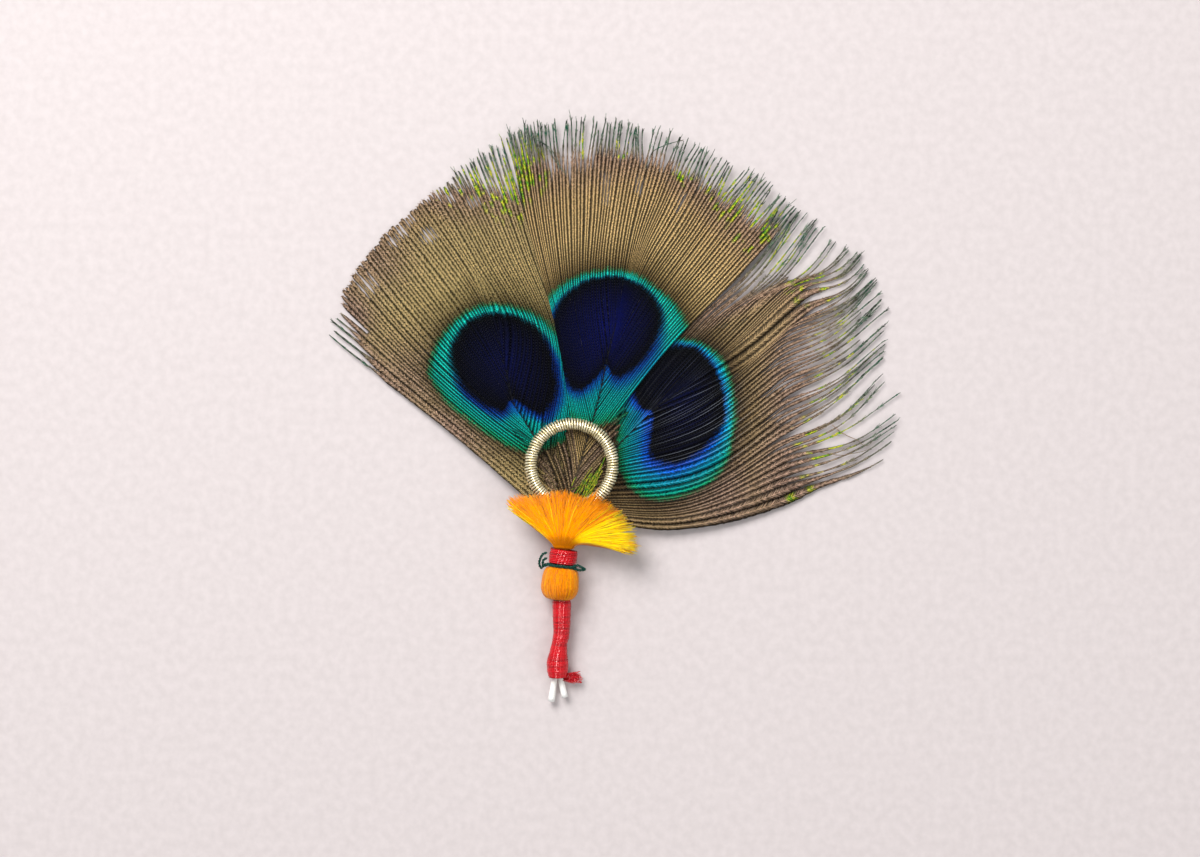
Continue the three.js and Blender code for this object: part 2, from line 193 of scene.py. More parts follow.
def wander(shape: tuple[int, int], knots: int) -> Array:
    """Smooth random values along each row, with the given number of turning points.

    Args:
        shape: rows and columns.
        knots: random values along a row; the values between them are interpolated.

    Returns:
        Values from about -1 to 1.
    """
    values = RNG.uniform(-1, 1, (knots, shape[0]))
    return smooth_curve(values, np.linspace(0, 1, shape[1])).T


# ---------- strands ----------


def repeated(mesh: bpy.types.Mesh, count: int, name: str) -> bpy.types.Mesh:
    """A mesh of copies of another, one after the other, joined by doubling.

    Args:
        mesh: what is copied.
        count: how many copies.
        name: the new mesh's name.

    Returns:
        The joined mesh.
    """
    joined = bmesh.new()
    block = bmesh.new()
    block.from_mesh(mesh)
    doubled = bpy.data.meshes.new(f"{name}_block")
    while count:
        block.to_mesh(doubled)
        if count % 2:
            joined.from_mesh(doubled)
        count //= 2
        block.from_mesh(doubled)
    whole = bpy.data.meshes.new(name)
    joined.to_mesh(whole)
    joined.free()
    block.free()
    bpy.data.meshes.remove(doubled)
    return whole


@dataclass
class Strands:
    """Closed thin strands joined in one mesh: barbs, threads, wire and silk are all made of them.

    Attributes:
        name: the piece's name.
        sides: faces around a strand.
        rows: rows of strips that the strands' UV map is laid out in.
    """

    name: str
    sides: int = 4
    rows: int = 1

    def template(self, stations: int) -> bpy.types.Mesh:
        """One straight strand of radius 1 and length 1, with a UV map around and along it.

        Args:
            stations: rings of vertices along it.

        Returns:
            The strand's mesh.
        """
        rod = bmesh.new()
        bmesh.ops.create_cone(rod, cap_ends=True, segments=self.sides, radius1=1, radius2=1, depth=1)
        lengthwise = [e for e in rod.edges if abs(e.verts[0].co.z - e.verts[1].co.z) > 0.5]
        if stations > 2:
            bmesh.ops.subdivide_edges(rod, edges=lengthwise, cuts=stations - 2)
        uv_layer = rod.loops.layers.uv.new(UV_NAME)
        for face in rod.faces:
            middle = face.calc_center_median()
            for loop in face.loops:
                co = loop.vert.co
                turn = math.atan2(co.y, co.x) / math.tau % 1
                if math.hypot(middle.x, middle.y) > 0.1:
                    home = math.atan2(middle.y, middle.x) / math.tau % 1
                    turn += round(home - turn)
                loop[uv_layer].uv = (turn, co.z + 0.5)
        mesh = bpy.data.meshes.new(f"{self.name}_template")
        rod.to_mesh(mesh)
        rod.free()
        return mesh

    def build(
        self,
        centres: Array,
        half_width: Array | float,
        half_height: Array | float,
        roll: Array | float = 0.0,
        attributes: dict[str, Array | float] | None = None,
        up: Array | None = None,
    ) -> bpy.types.Object:
        """Lays the strands along their centre lines.

        Args:
            centres: strand, station and x, y, z in millimetres.
            half_width: half the width across each strand at each station, in millimetres.
            half_height: half the height, in millimetres.
            roll: turn about the strand's own line, in radians.
            attributes: values for each strand and station, kept on the mesh under their names.
            up: direction of the strands' height at each station, which is +Z otherwise.

        Returns:
            The finished object.
        """
        centres = np.asarray(centres, float)
        count, stations, _ = centres.shape
        template = self.template(stations)
        mesh = repeated(template, count, self.name)

        local = np.zeros(len(template.vertices) * 3)
        template.vertices.foreach_get("co", local)
        local = local.reshape(-1, 3)
        station = np.rint((local[:, 2] + 0.5) * (stations - 1)).astype(int)

        forward = unit(np.gradient(centres, axis=1))
        across = unit(np.cross(UP if up is None else up, forward))
        rise = np.cross(forward, across)
        roll, half_width, half_height = (
            np.broadcast_to(value, (count, stations))[..., None] for value in (roll, half_width, half_height)
        )
        wide = (across * np.cos(roll) + rise * np.sin(roll)) * half_width
        high = (rise * np.cos(roll) - across * np.sin(roll)) * half_height
        places = centres[:, station] + wide[:, station] * local[:, :1] + high[:, station] * local[:, 1:2]
        places[..., 2] = np.maximum(places[..., 2], LOWEST)
        mesh.vertices.foreach_set("co", to_frame(places).astype(np.float32).ravel())

        self.lay_out_uv(mesh, template, count)
        values = {"across": 1.0, **(attributes or {})}
        for name, value in values.items():
            spread = np.broadcast_to(value, (count, stations))[:, station]
            if name == "across":
                spread = spread * local[:, 0]
            layer = mesh.attributes.new(name, "FLOAT", "POINT")
            layer.data.foreach_set("value", spread.astype(np.float32).ravel())
        mesh.update()
        bpy.data.meshes.remove(template)
        return piece_of(mesh)

    def lay_out_uv(self, mesh: bpy.types.Mesh, template: bpy.types.Mesh, count: int) -> None:
        """Gives each strand its own strip of the UV square, with a margin inside the strip.

        Args:
            mesh: the joined strands.
            template: one strand.
            count: how many strands there are.
        """
        side_margin, end_margin = 0.06, 0.01
        corners = np.zeros(len(template.loops) * 2)
        template.uv_layers[UV_NAME].data.foreach_get("uv", corners)
        corners = corners.reshape(-1, 2)
        columns = math.ceil(count / self.rows)
        number = np.arange(count)[:, None]
        u = (number % columns + mix(side_margin, 1 - side_margin, corners[:, 0])) / columns
        v = (number // columns + mix(end_margin, 1 - end_margin, corners[:, 1])) / self.rows
        layer = mesh.uv_layers[UV_NAME]
        layer.data.foreach_set("uv", np.stack([u, v], axis=-1).astype(np.float32).ravel())


def turned_body(name: str, profile: Sequence[Point], middle: Place, tilt: float) -> bpy.types.Object:
    """A body turned about an axis that lies level, made by spinning its profile.

    Args:
        name: the piece's name.
        profile: radius and distance along the axis, from end to end, in millimetres.
        middle: x, y and height of the profile's zero point.
        tilt: the axis's turn in plan from +Y, in degrees.

    Returns:
        The finished object.
    """
    body = bmesh.new()
    verts = [body.verts.new((radius, along, 0)) for radius, along in profile]
    edges = [body.edges.new(pair) for pair in zip(verts, verts[1:])]
    bmesh.ops.spin(body, geom=[*verts, *edges], axis=(0, 1, 0), cent=(0, 0, 0), angle=math.tau,
                   steps=48, use_merge=True)
    bmesh.ops.remove_doubles(body, verts=body.verts, dist=1e-4)
    bmesh.ops.recalc_face_normals(body, faces=body.faces)
    across, along = tilted(tilt)
    for vert in body.verts:
        placed = across * vert.co.x + along * vert.co.y + UP * vert.co.z + np.array(middle)
        placed[2] = max(placed[2], LOWEST)
        vert.co = to_frame(placed)
    mesh = bpy.data.meshes.new(name)
    body.to_mesh(mesh)
    body.free()
    return piece_of(mesh)


def helix(axis: Array, radius: Array | float, turns: float, start: float = 0.0) -> Array:
    """A line that winds around an axis.

    Args:
        axis: points of the axis, in order.
        radius: distance from the axis, at each point or everywhere.
        turns: how many times it goes round.
        start: where it starts, as a share of a turn.

    Returns:
        The points of the winding line, one for each point of the axis.
    """
    forward = unit(np.gradient(axis, axis=0))
    side = unit(np.cross(UP, forward))
    rise = np.cross(forward, side)
    angle = (np.linspace(0, turns, len(axis)) + start)[:, None] * math.tau
    return axis + (side * np.cos(angle) + rise * np.sin(angle)) * np.asarray(radius).reshape(-1, 1)


def piece_of(mesh: bpy.types.Mesh) -> bpy.types.Object:
    """A smooth object made of a mesh, with the mesh's name, in the scene.

    Args:
        mesh: the mesh.

    Returns:
        The object.
    """
    mesh.polygons.foreach_set("use_smooth", np.ones(len(mesh.polygons), bool))
    piece = bpy.data.objects.new(mesh.name, mesh)
    bpy.context.scene.collection.objects.link(piece)
    return piece


def attach(pieces: Sequence[bpy.types.Object], node: str) -> None:
    """Makes pieces ride on the part's one body in place of a solid, and reports them.

    Args:
        pieces: the finished pieces.
        node: the solid whose look they are.
    """
    for piece in pieces:
        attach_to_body(piece, "root")
        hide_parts(node)
        LOG.info("%s: %d faces", piece.name, len(piece.data.polygons))


# ---------- materials ----------


def linear(colour: str) -> tuple[float, float, float, float]:
    """Turns an sRGB hex value such as "D8C58A" into the linear colour that a socket takes."""
    channels = [int(colour[i:i + 2], 16) / 255 for i in (0, 2, 4)]
    return (*(c / 12.92 if c <= 0.04045 else ((c + 0.055) / 1.055) ** 2.4 for c in channels), 1.0)


def new_material(name: str) -> tuple[bpy.types.Material, bpy.types.NodeTree]:
    """An empty node material, and its tree.

    Args:
        name: the material's name.

    Returns:
        Both of them.
    """
    material = bpy.data.materials.new(name)
    material.use_nodes = True
    material.node_tree.nodes.clear()
    return material, material.node_tree


def add_node(
    tree: bpy.types.NodeTree,
    kind: str,
    inputs: dict[str | int, object] | None = None,
    output: str | int = 0,
    ramp: Sequence[tuple[float, str]] = (),
    **settings: object,
) -> Socket | None:
    """Adds a node with its settings and links.

    Args:
        tree: the material's node tree.
        kind: the node's type, without "ShaderNode".
        inputs: for each input, by name or number, the value it is set to or the output linked to it.
        output: name or number of the output that is wanted.
        ramp: positions and colours of a colour ramp.
        settings: the node's own properties.

    Returns:
        The wanted output, or None where the node has no outputs.
    """
    node = tree.nodes.new(f"ShaderNode{kind}")
    for name, value in settings.items():
        setattr(node, name, value)
    for key, value in (inputs or {}).items():
        if isinstance(value, Socket):
            tree.links.new(value, node.inputs[key])
        else:
            node.inputs[key].default_value = value
    if ramp:
        elements = node.color_ramp.elements
        while len(elements) < len(ramp):
            elements.new(1.0)
        for element, (position, colour) in zip(elements, ramp):
            element.position = position
            element.color = linear(colour)
    return node.outputs[output] if len(node.outputs) else None


def strand_values(tree: bpy.types.NodeTree, names: Sequence[str]) -> dict[str, Socket]:
    """The values of those names that strands carry at each of their points."""
    return {name: add_node(tree, "Attribute", output="Fac", attribute_name=name) for name in names}


def object_noise(tree: bpy.types.NodeTree, grain_mm: float, detail: float = 2.0) -> Socket:
    """The value of a noise fixed to the object whose grains are the given size in millimetres."""
    place = add_node(tree, "TexCoord", output="Object")
    return add_node(tree, "TexNoise", {"Vector": place, "Scale": 1 / (grain_mm * MM), "Detail": detail})


def slanting_lines(
    tree: bpy.types.NodeTree, value: dict[str, Socket], lean_mm: float, pitch_mm: float,
) -> Socket:
    """Relief of fine lines that slant from the middle of a strand to its edges.

    Args:
        tree: the material's node tree.
        value: the strands' values, with "across" from -1 to 1 and "along" in millimetres.
        lean_mm: how far a line runs along the strand on its way to the edge.
        pitch_mm: distance between lines.

    Returns:
        The relief, from 0 to 1.
    """
    slant = add_node(
        tree, "Math", {0: value["across"], 1: lean_mm, 2: value["along"]}, operation="MULTIPLY_ADD")
    phase = add_node(tree, "Math", {0: slant, 1: math.tau / pitch_mm}, operation="MULTIPLY")
    wave = add_node(tree, "Math", {0: phase}, operation="SINE")
    return add_node(tree, "MapRange", {"Value": wave, "From Min": -1.0})


def finish_with(tree: bpy.types.NodeTree, surface: dict[str, object], bump: Socket, depth_mm: float) -> None:
    """Ends a material with a Principled surface over a bump.

    Args:
        tree: the material's node tree.
        surface: inputs of the Principled node.
        bump: height of the surface's fine relief, from 0 to 1.
        depth_mm: depth of that relief in millimetres.
    """
    relief = add_node(tree, "Bump", {"Height": bump, "Distance": depth_mm * MM, "Strength": 1.0})
    shader = add_node(tree, "BsdfPrincipled", {**surface, "Normal": relief})
    add_node(tree, "OutputMaterial", {"Surface": shader})


@dataclass(frozen=True)
class BarbFinish:
    """Barbs of a tail covert: keratin whose barbules give structural colour, a satin, metallic sheen.

    Attributes:
        name: the material's name.
        ground: colours on the side of the stem, each with its level: -1 in the middle of the dark heart,
            0 at its edge, 1 at the edge of the blue-green around it and 4 where that is 24 mm away.
        rim: the same on the side of the tip.
        edge: darkest and lightest brown of the dense vane's worn edge.
        fringe: darkest and lightest grey-green of the loose barbs.
        greening: the reach along a barb at which it starts to be grey-green, and is.
    """

    name: str
    ground: tuple[tuple[float, str], ...]
    rim: tuple[tuple[float, str], ...]
    edge: tuple[str, str] = ("84685A", "D2B09A")
    fringe: tuple[str, str] = ("3C4C3E", "84937F")
    greening: Point = (1.0, 1.08)

    def tint(self, tree: bpy.types.NodeTree, value: dict[str, Socket]) -> Socket:
        """Makes the barbs' colour from their place in the eye and along the barb.

        Args:
            tree: the material's node tree.
            value: the barbs' values by name.

        Returns:
            The colour, before shading.
        """
        fine = object_noise(tree, 0.5)

        # The edges of the colour zones are ragged from barb to barb.
        ragged = add_node(tree, "MapRange", {"Value": fine, "To Min": -0.09, "To Max": 0.09})
        level = add_node(tree, "Math", {0: value["level"], 1: ragged}, operation="ADD")
        share = add_node(tree, "MapRange", {"Value": level, "From Min": -1.0, "From Max": 4.0})
        ground, rim = (
            add_node(tree, "ValToRGB", {"Fac": share}, ramp=[((at + 1) / 5, colour) for at, colour in stops])
            for stops in (self.ground, self.rim)
        )

        # Towards the edge of the dense vane the bronze turns to a dull mauve brown.
        faded = add_node(tree, "MapRange", {"Value": value["reach"], "From Min": 0.84, "To Max": 0.75})
        outside = add_node(tree, "MapRange", {"Value": level, "From Min": 1.0, "From Max": 1.3})
        faded, worn = (
            add_node(tree, "Math", {0: amount, 1: outside}, operation="MULTIPLY")
            for amount in (faded, value["wine"])
        )
        brown = add_node(tree, "ValToRGB", {"Fac": fine}, ramp=[(0.35, self.edge[0]), (0.65, self.edge[1])])

        # Past the dense vane a barb is a grey-green thread with clumps of teal barbules along it.
        start, end = self.greening
        loose = add_node(tree, "MapRange", {"Value": value["reach"], "From Min": start, "From Max": end})
        threads = add_node(
            tree, "ValToRGB", {"Fac": object_noise(tree, 1.0, 1.0)},
            ramp=[(0.34, self.fringe[0]), (0.5, self.fringe[1]), (0.7, "2C6A50")],
        )

        # Lime green dashes lie along the edge of the dense vane.
        lively = add_node(tree, "Math", {0: value["lime"], 1: fine}, operation="MULTIPLY")
        lively = add_node(tree, "MapRange", {"Value": lively, "From Min": 0.1, "From Max": 0.25})
        dashes = add_node(
            tree, "ValToRGB", {"Fac": fine}, ramp=[(0.32, "3F9A3A"), (0.46, "9CC832"), (0.58, "E2DC4A")])

        # Each layer in turn is mixed over the colour; the last, grey, is a painted highlight on ribs that
        # catch the light.
        colour = ground
        for share, layer in (
            (value["distal"], rim), (faded, brown), (worn, brown), (loose, threads), (lively, dashes),
            (value["painted_rib_glint"], linear("9AA0A8")),
        ):
            colour = add_node(tree, "Mix", {0: share, 6: colour, 7: layer}, output=2, data_type="RGBA")
        return colour

    def build(self) -> bpy.types.Material:
        """Makes the material.

        Returns:
            The material.
        """
        material, tree = new_material(self.name)
        value = strand_values(
            tree,
            ("level", "distal", "reach", "across", "edge", "tone", "along", "lime", "wine", "painted_rib_glint"),
        )
        colour = self.tint(tree, value)

        # A barb's web has the slant of its barbules, 0.1 mm apart in life and drawn 0.5 mm apart to show.
        # Its edges, and the barbules' ends, lie in the shade of the next barb.
        away = add_node(tree, "Math", {0: value["across"]}, operation="ABSOLUTE")
        relief = slanting_lines(tree, {**value, "across": away}, 0.9, 0.5)
        shaded = add_node(tree, "Math", {0: away, 1: value["edge"]}, operation="MAXIMUM")
        light = add_node(tree, "MapRange", {"Value": shaded, "From Min": 0.4, "To Min": 1.0, "To Max": 0.42})
        # The relief also darkens the colour in its grooves, which is painted shade, and the tone gives each
        # strand its own brightness.
        for share, least, most in ((relief, 0.8, 1.1), (value["tone"], 0.15, 1.26)):
            factor = add_node(tree, "MapRange", {"Value": share, "To Min": least, "To Max": most})
            light = add_node(tree, "Math", {0: light, 1: factor}, operation="MULTIPLY")
        shade = add_node(tree, "VectorMath", {0: colour, "Scale": light}, operation="SCALE")
        surface = {"Base Color": shade, "Metallic": 0.22, "Roughness": 0.5, "Specular IOR Level": 0.08}
        finish_with(tree, surface, relief, 0.06)
        return material


@dataclass(frozen=True)
class ShaftFinish:
    """Feather shafts: smooth keratin, waxy and ivory white at the quill, brown inside the vane.

    Attributes:
        name: the material's name.
        colours: from the quill's cut end, over the stem and the vane, to the shaft's end in the dark heart.
    """

    name: str = "ivory_keratin_shaft"
    colours: tuple[tuple[float, str], ...] = (
        (0.0, "F8F6F2"), (0.3, "EDE4D0"), (0.4, "5A4832"), (0.58, "2E281E"), (0.7, "0C1018"), (1.0, "070712"),
    )

    def build(self) -> bpy.types.Material:
        """Makes the material.

        Returns:
            The material.
        """
        material, tree = new_material(self.name)
        value = strand_values(tree, ("along",))
        colour = add_node(tree, "ValToRGB", {"Fac": value["along"]}, ramp=self.colours)
        surface = {"Base Color": colour, "Roughness": 0.6, "Specular IOR Level": 0.08}
        finish_with(tree, surface, object_noise(tree, 0.6), 0.02)
        return material


@dataclass(frozen=True)
class ThreadFinish:
    """Spun or reeled thread: a satin sheen along the fibres, with painted sheen, and painted shade where
    strands meet.

    Attributes:
        name: the material's name.
        dark: colour of the lowest tones, which the cores under windings take as painted shade in the gaps.
        light: colour of the higher tones.
        glint: colour of the painted sheen on the shiniest strands, and tint of the reflections.
        roughness: of the surface.
        sheen: of the loose fibres.
        shine: strength of the reflections.
        ply_mm: length of one turn of the thread's twist, or 0 for untwisted fibres.
    """

    name: str
    dark: str
    light: str
    glint: str
    roughness: float = 0.42
    sheen: float = 0.3
    shine: float = 0.55
    ply_mm: float = 0.0

    def build(self) -> bpy.types.Material:
        """Makes the material.

        Returns:
            The material.
        """
        material, tree = new_material(self.name)
        value = strand_values(tree, ("across", "tone", "along", "painted_sheen"))
        fibres = object_noise(tree, 0.35)
        mixed = add_node(tree, "Math", {0: value["tone"], 1: 0.75, 2: fibres}, operation="MULTIPLY_ADD")
        share = add_node(tree, "MapRange", {"Value": mixed, "From Min": 0.25, "From Max": 1.35})
        colour = add_node(tree, "ValToRGB", {"Fac": share}, ramp=[(0.0, self.dark), (0.55, self.light)])
        # Painted sheen: strands marked for it are mixed towards the glint colour.
        glint = linear(self.glint)
        colour = add_node(
            tree, "Mix", {0: value["painted_sheen"], 6: colour, 7: glint}, output=2, data_type="RGBA")
        relief = slanting_lines(tree, value, self.ply_mm * 0.4, self.ply_mm) if self.ply_mm else fibres
        surface = {
            "Base Color": colour, "Roughness": self.roughness, "Sheen Weight": self.sheen,
            "Sheen Roughness": 0.4, "Specular IOR Level": self.shine, "Specular Tint": glint,
        }
        finish_with(tree, surface, relief, 0.03)
        return material


@dataclass(frozen=True)
class WireFinish:
    """Lacquered brass bullion wire: a pale champagne gold with bright highlights and dull gaps."""

    name: str = "lacquered_brass_wire"
    bright: str = "FFF5D6"
    dull: str = "CDBB84"

    def build(self) -> bpy.types.Material:
        """Makes the material.

        Returns:
            The material.
        """
        material, tree = new_material(self.name)
        worn = object_noise(tree, 0.7)
        colour = add_node(tree, "ValToRGB", {"Fac": worn}, ramp=[(0.3, self.dull), (0.6, self.bright)])
        finish_with(tree, {"Base Color": colour, "Metallic": 0.6, "Roughness": 0.26}, worn, 0.03)
        return material


# ---------- the fan ----------


@dataclass(frozen=True)
class Fan:
    """Heights of the fan: the vanes fall from the neck to the surface at their tips.

    Attributes:
        neck: where the feathers leave the tassel's neck, in plan.
        far: the fan's reach from the neck along its heading.
        heading: direction of its longest reach, in degrees clockwise from +Y.
        narrowing: how much less it reaches for each square degree off the heading.
        thickness: of a vane's solid.
        surface_gap: under the vanes' tips.
        fall: of the vanes from the neck to their tips.
        centre_lift: height of the centre feather over the others, at its tips and at the neck.
        shaft_radius: at the neck and at the fan's edge.
        shaft_ridge: how far shafts stand out of the vanes' upper face.
    """

    neck: Point = (-1.5, -15.5)
    far: float = 75.0
    heading: float = 10.0
    narrowing: float = 0.0055
    thickness: float = 0.3
    surface_gap: float = LOWEST
    fall: float = 2.64
    centre_lift: Point = (0.6, 1.05)
    shaft_radius: Point = (0.42, 0.22)
    shaft_ridge: float = 0.08

    def fraction(self, x: Array, y: Array) -> Array:
        """Distance from the neck as a fraction of the fan's reach in that direction.

        Args:
            x: of each point.
            y: of each point.

        Returns:
            The fraction, at most 1.
        """
        dx, dy = x - self.neck[0], y - self.neck[1]
        direction = np.degrees(np.arctan2(dx, dy))
        reach = self.far - self.narrowing * (direction - self.heading) ** 2
        return np.minimum(1, np.hypot(dx, dy) / reach)

    def height(self, x: Array, y: Array, is_centre: bool) -> Array:
        """Height of a vane's middle layer.

        Args:
            x: of each point.
            y: of each point.
            is_centre: whether it is the centre feather's vane.

        Returns:
            The height of each point.
        """
        rest = 1 - self.fraction(x, y)
        lift = mix(*self.centre_lift, rest ** 2) if is_centre else 0
        return self.thickness / 2 + self.surface_gap + self.fall * rest ** 1.2 + lift


FAN = Fan()
STEM_AXIS = (
    (-1.45, -14), (-1.45, -15.5), (-1.8, -19.6), (-1.7, -22.8), (-1.75, -28.3), (-2.05, -30), (-2.4, -33.1),
    (-2.4, -36),
)
NECK: Place = (-1.45, -15.5, 2.85)
NECK_TILT = -7.5
SHAFT_STEPS = 600  # Points of a shaft's path that barbs are placed on.


def stem_height(y: Array) -> Array:
    """Height of the side shafts inside the stem."""
    return 2.55 + 0.055 * (y - FAN.neck[1])


@dataclass(frozen=True)
class BarbGuide:
    """A barb line that shapes a vane.

    Attributes:
        back: where it leaves the shaft, in millimetres from the shaft's end, negative on its right side.
        near: its point at a third of its length.
        far: its point at two thirds.
        tip: its end.
        dense: the fraction of it that stays joined to its neighbours.
        pitch: distance between barbs at their tips, in millimetres.
    """

    back: float
    near: Point
    far: Point
    tip: Point
    dense: float
    pitch: float


@dataclass(frozen=True)
class Eye:
    """The eye of a feather.

    Attributes:
        middle: of the dark heart.
        heading: direction of the feather's tip, in degrees anticlockwise from +X.
        heart: outline of the dark heart, in order.
        halo: outline of the blue-green around it, in order.
    """

    middle: Point
    heading: float
    heart: tuple[Point, ...]
    halo: tuple[Point, ...]

    def radius(self, outline: Sequence[Point], angle: Array) -> Array:
        """Distance of an outline from the middle, by direction in radians.

        Args:
            outline: the heart's or the halo's points.
            angle: directions from the middle.

        Returns:
            The distance in each direction.
        """
        # Points are repeated past both ends, which keeps the curve smooth where the outline closes.
        closed = np.array([*outline[-2:], *outline, *outline[:3]], float)
        margin = 1.9 / (len(closed) - 1)
        offset = smooth_curve(closed, np.linspace(margin, 1 - margin, 400)) - np.array(self.middle)
        turn = np.arctan2(offset[:, 1], offset[:, 0])
        order = np.argsort(turn)
        return np.interp(angle, turn[order], np.hypot(offset[:, 0], offset[:, 1])[order], period=math.tau)

    def level(self, x: Array, y: Array, jitter: Array) -> tuple[Array, Array]:
        """Where points lie in the eye's zones.

        Args:
            x: of each point.
            y: of each point.
            jitter: how far each point's zones are moved outward, in millimetres.

        Returns:
            The level, from -1 in the middle of the heart, 0 at its edge and 1 at the edge of the halo to
            1 more for each 8 mm; and how far a point lies on the side of the tip, from 0 to 1.
        """
        dx, dy = x - self.middle[0], y - self.middle[1]
        angle = np.arctan2(dy, dx)
        far = np.hypot(dx, dy) - jitter
        heart = self.radius(self.heart, angle)
        halo = np.maximum(self.radius(self.halo, angle), heart + 0.6)
        inner = np.clip(far / heart, 0, 1) - 1
        middle = np.clip((far - heart) / (halo - heart), 0, 1)
        outer = np.maximum(0, far - halo) / 8
        distal = np.cos(angle - math.radians(self.heading))
        return inner + middle + outer, smoothstep(distal, -0.35, 0.45)


@dataclass(frozen=True)
class Spot:
    """A round patch of a vane that looks different: where it is, how wide and how strong."""

    middle: Point
    radius: float
    strength: float = 1.0


def spotted(spots: Sequence[Spot], x: Array, y: Array) -> Array:
    """How strongly patches show at points of a vane.

    Args:
        spots: the patches.
        x: of each point.
        y: of each point.

    Returns:
        For each point the strength of the strongest patch there, 0 where there is none.
    """
    total = np.zeros_like(x)
    for spot in spots:
        away = np.hypot(x - spot.middle[0], y - spot.middle[1]) / spot.radius
        total = np.maximum(total, spot.strength * np.exp(-away ** 2))
    return total


class Side(Enum):
    """Where a feather lies in the fan: the side of the stem that its shaft takes."""

    LEFT = -1
    CENTRE = 0
    RIGHT = 1


@dataclass(frozen=True)
class Vane:
    """Where the barbs of a vane lie, by barb and station along it.

    Attributes:
        centres: their middle lines, with heights.
        normal: direction to the left of each line, in plan.
        spacing: distance between neighbours.
        apart: 0 where barbs are joined and 1 in the fringe.
        loose: 0 at the fringe's foot and 1 at its tips.
        values: what the finish needs at each point.
    """

    centres: Array
    normal: Array
    spacing: Array
    apart: Array
    loose: Array
    values: dict[str, Array]


@dataclass(frozen=True)
class Stray:
    """A loose barb: its plan line, its reach from end to end, how lime green it is and how high."""

    line: tuple[Point, ...]
    reach: Point = (1.05, 1.3)
    lime: float = 0.0
    lift: float = 0.3


def by_turns(count: int, odd: float, even: float) -> Array:
    """One value for each barb, in a column: the first for odd numbers and the second for even ones."""
    return np.where(np.arange(count) % 2 == 1, odd, even)[:, None]


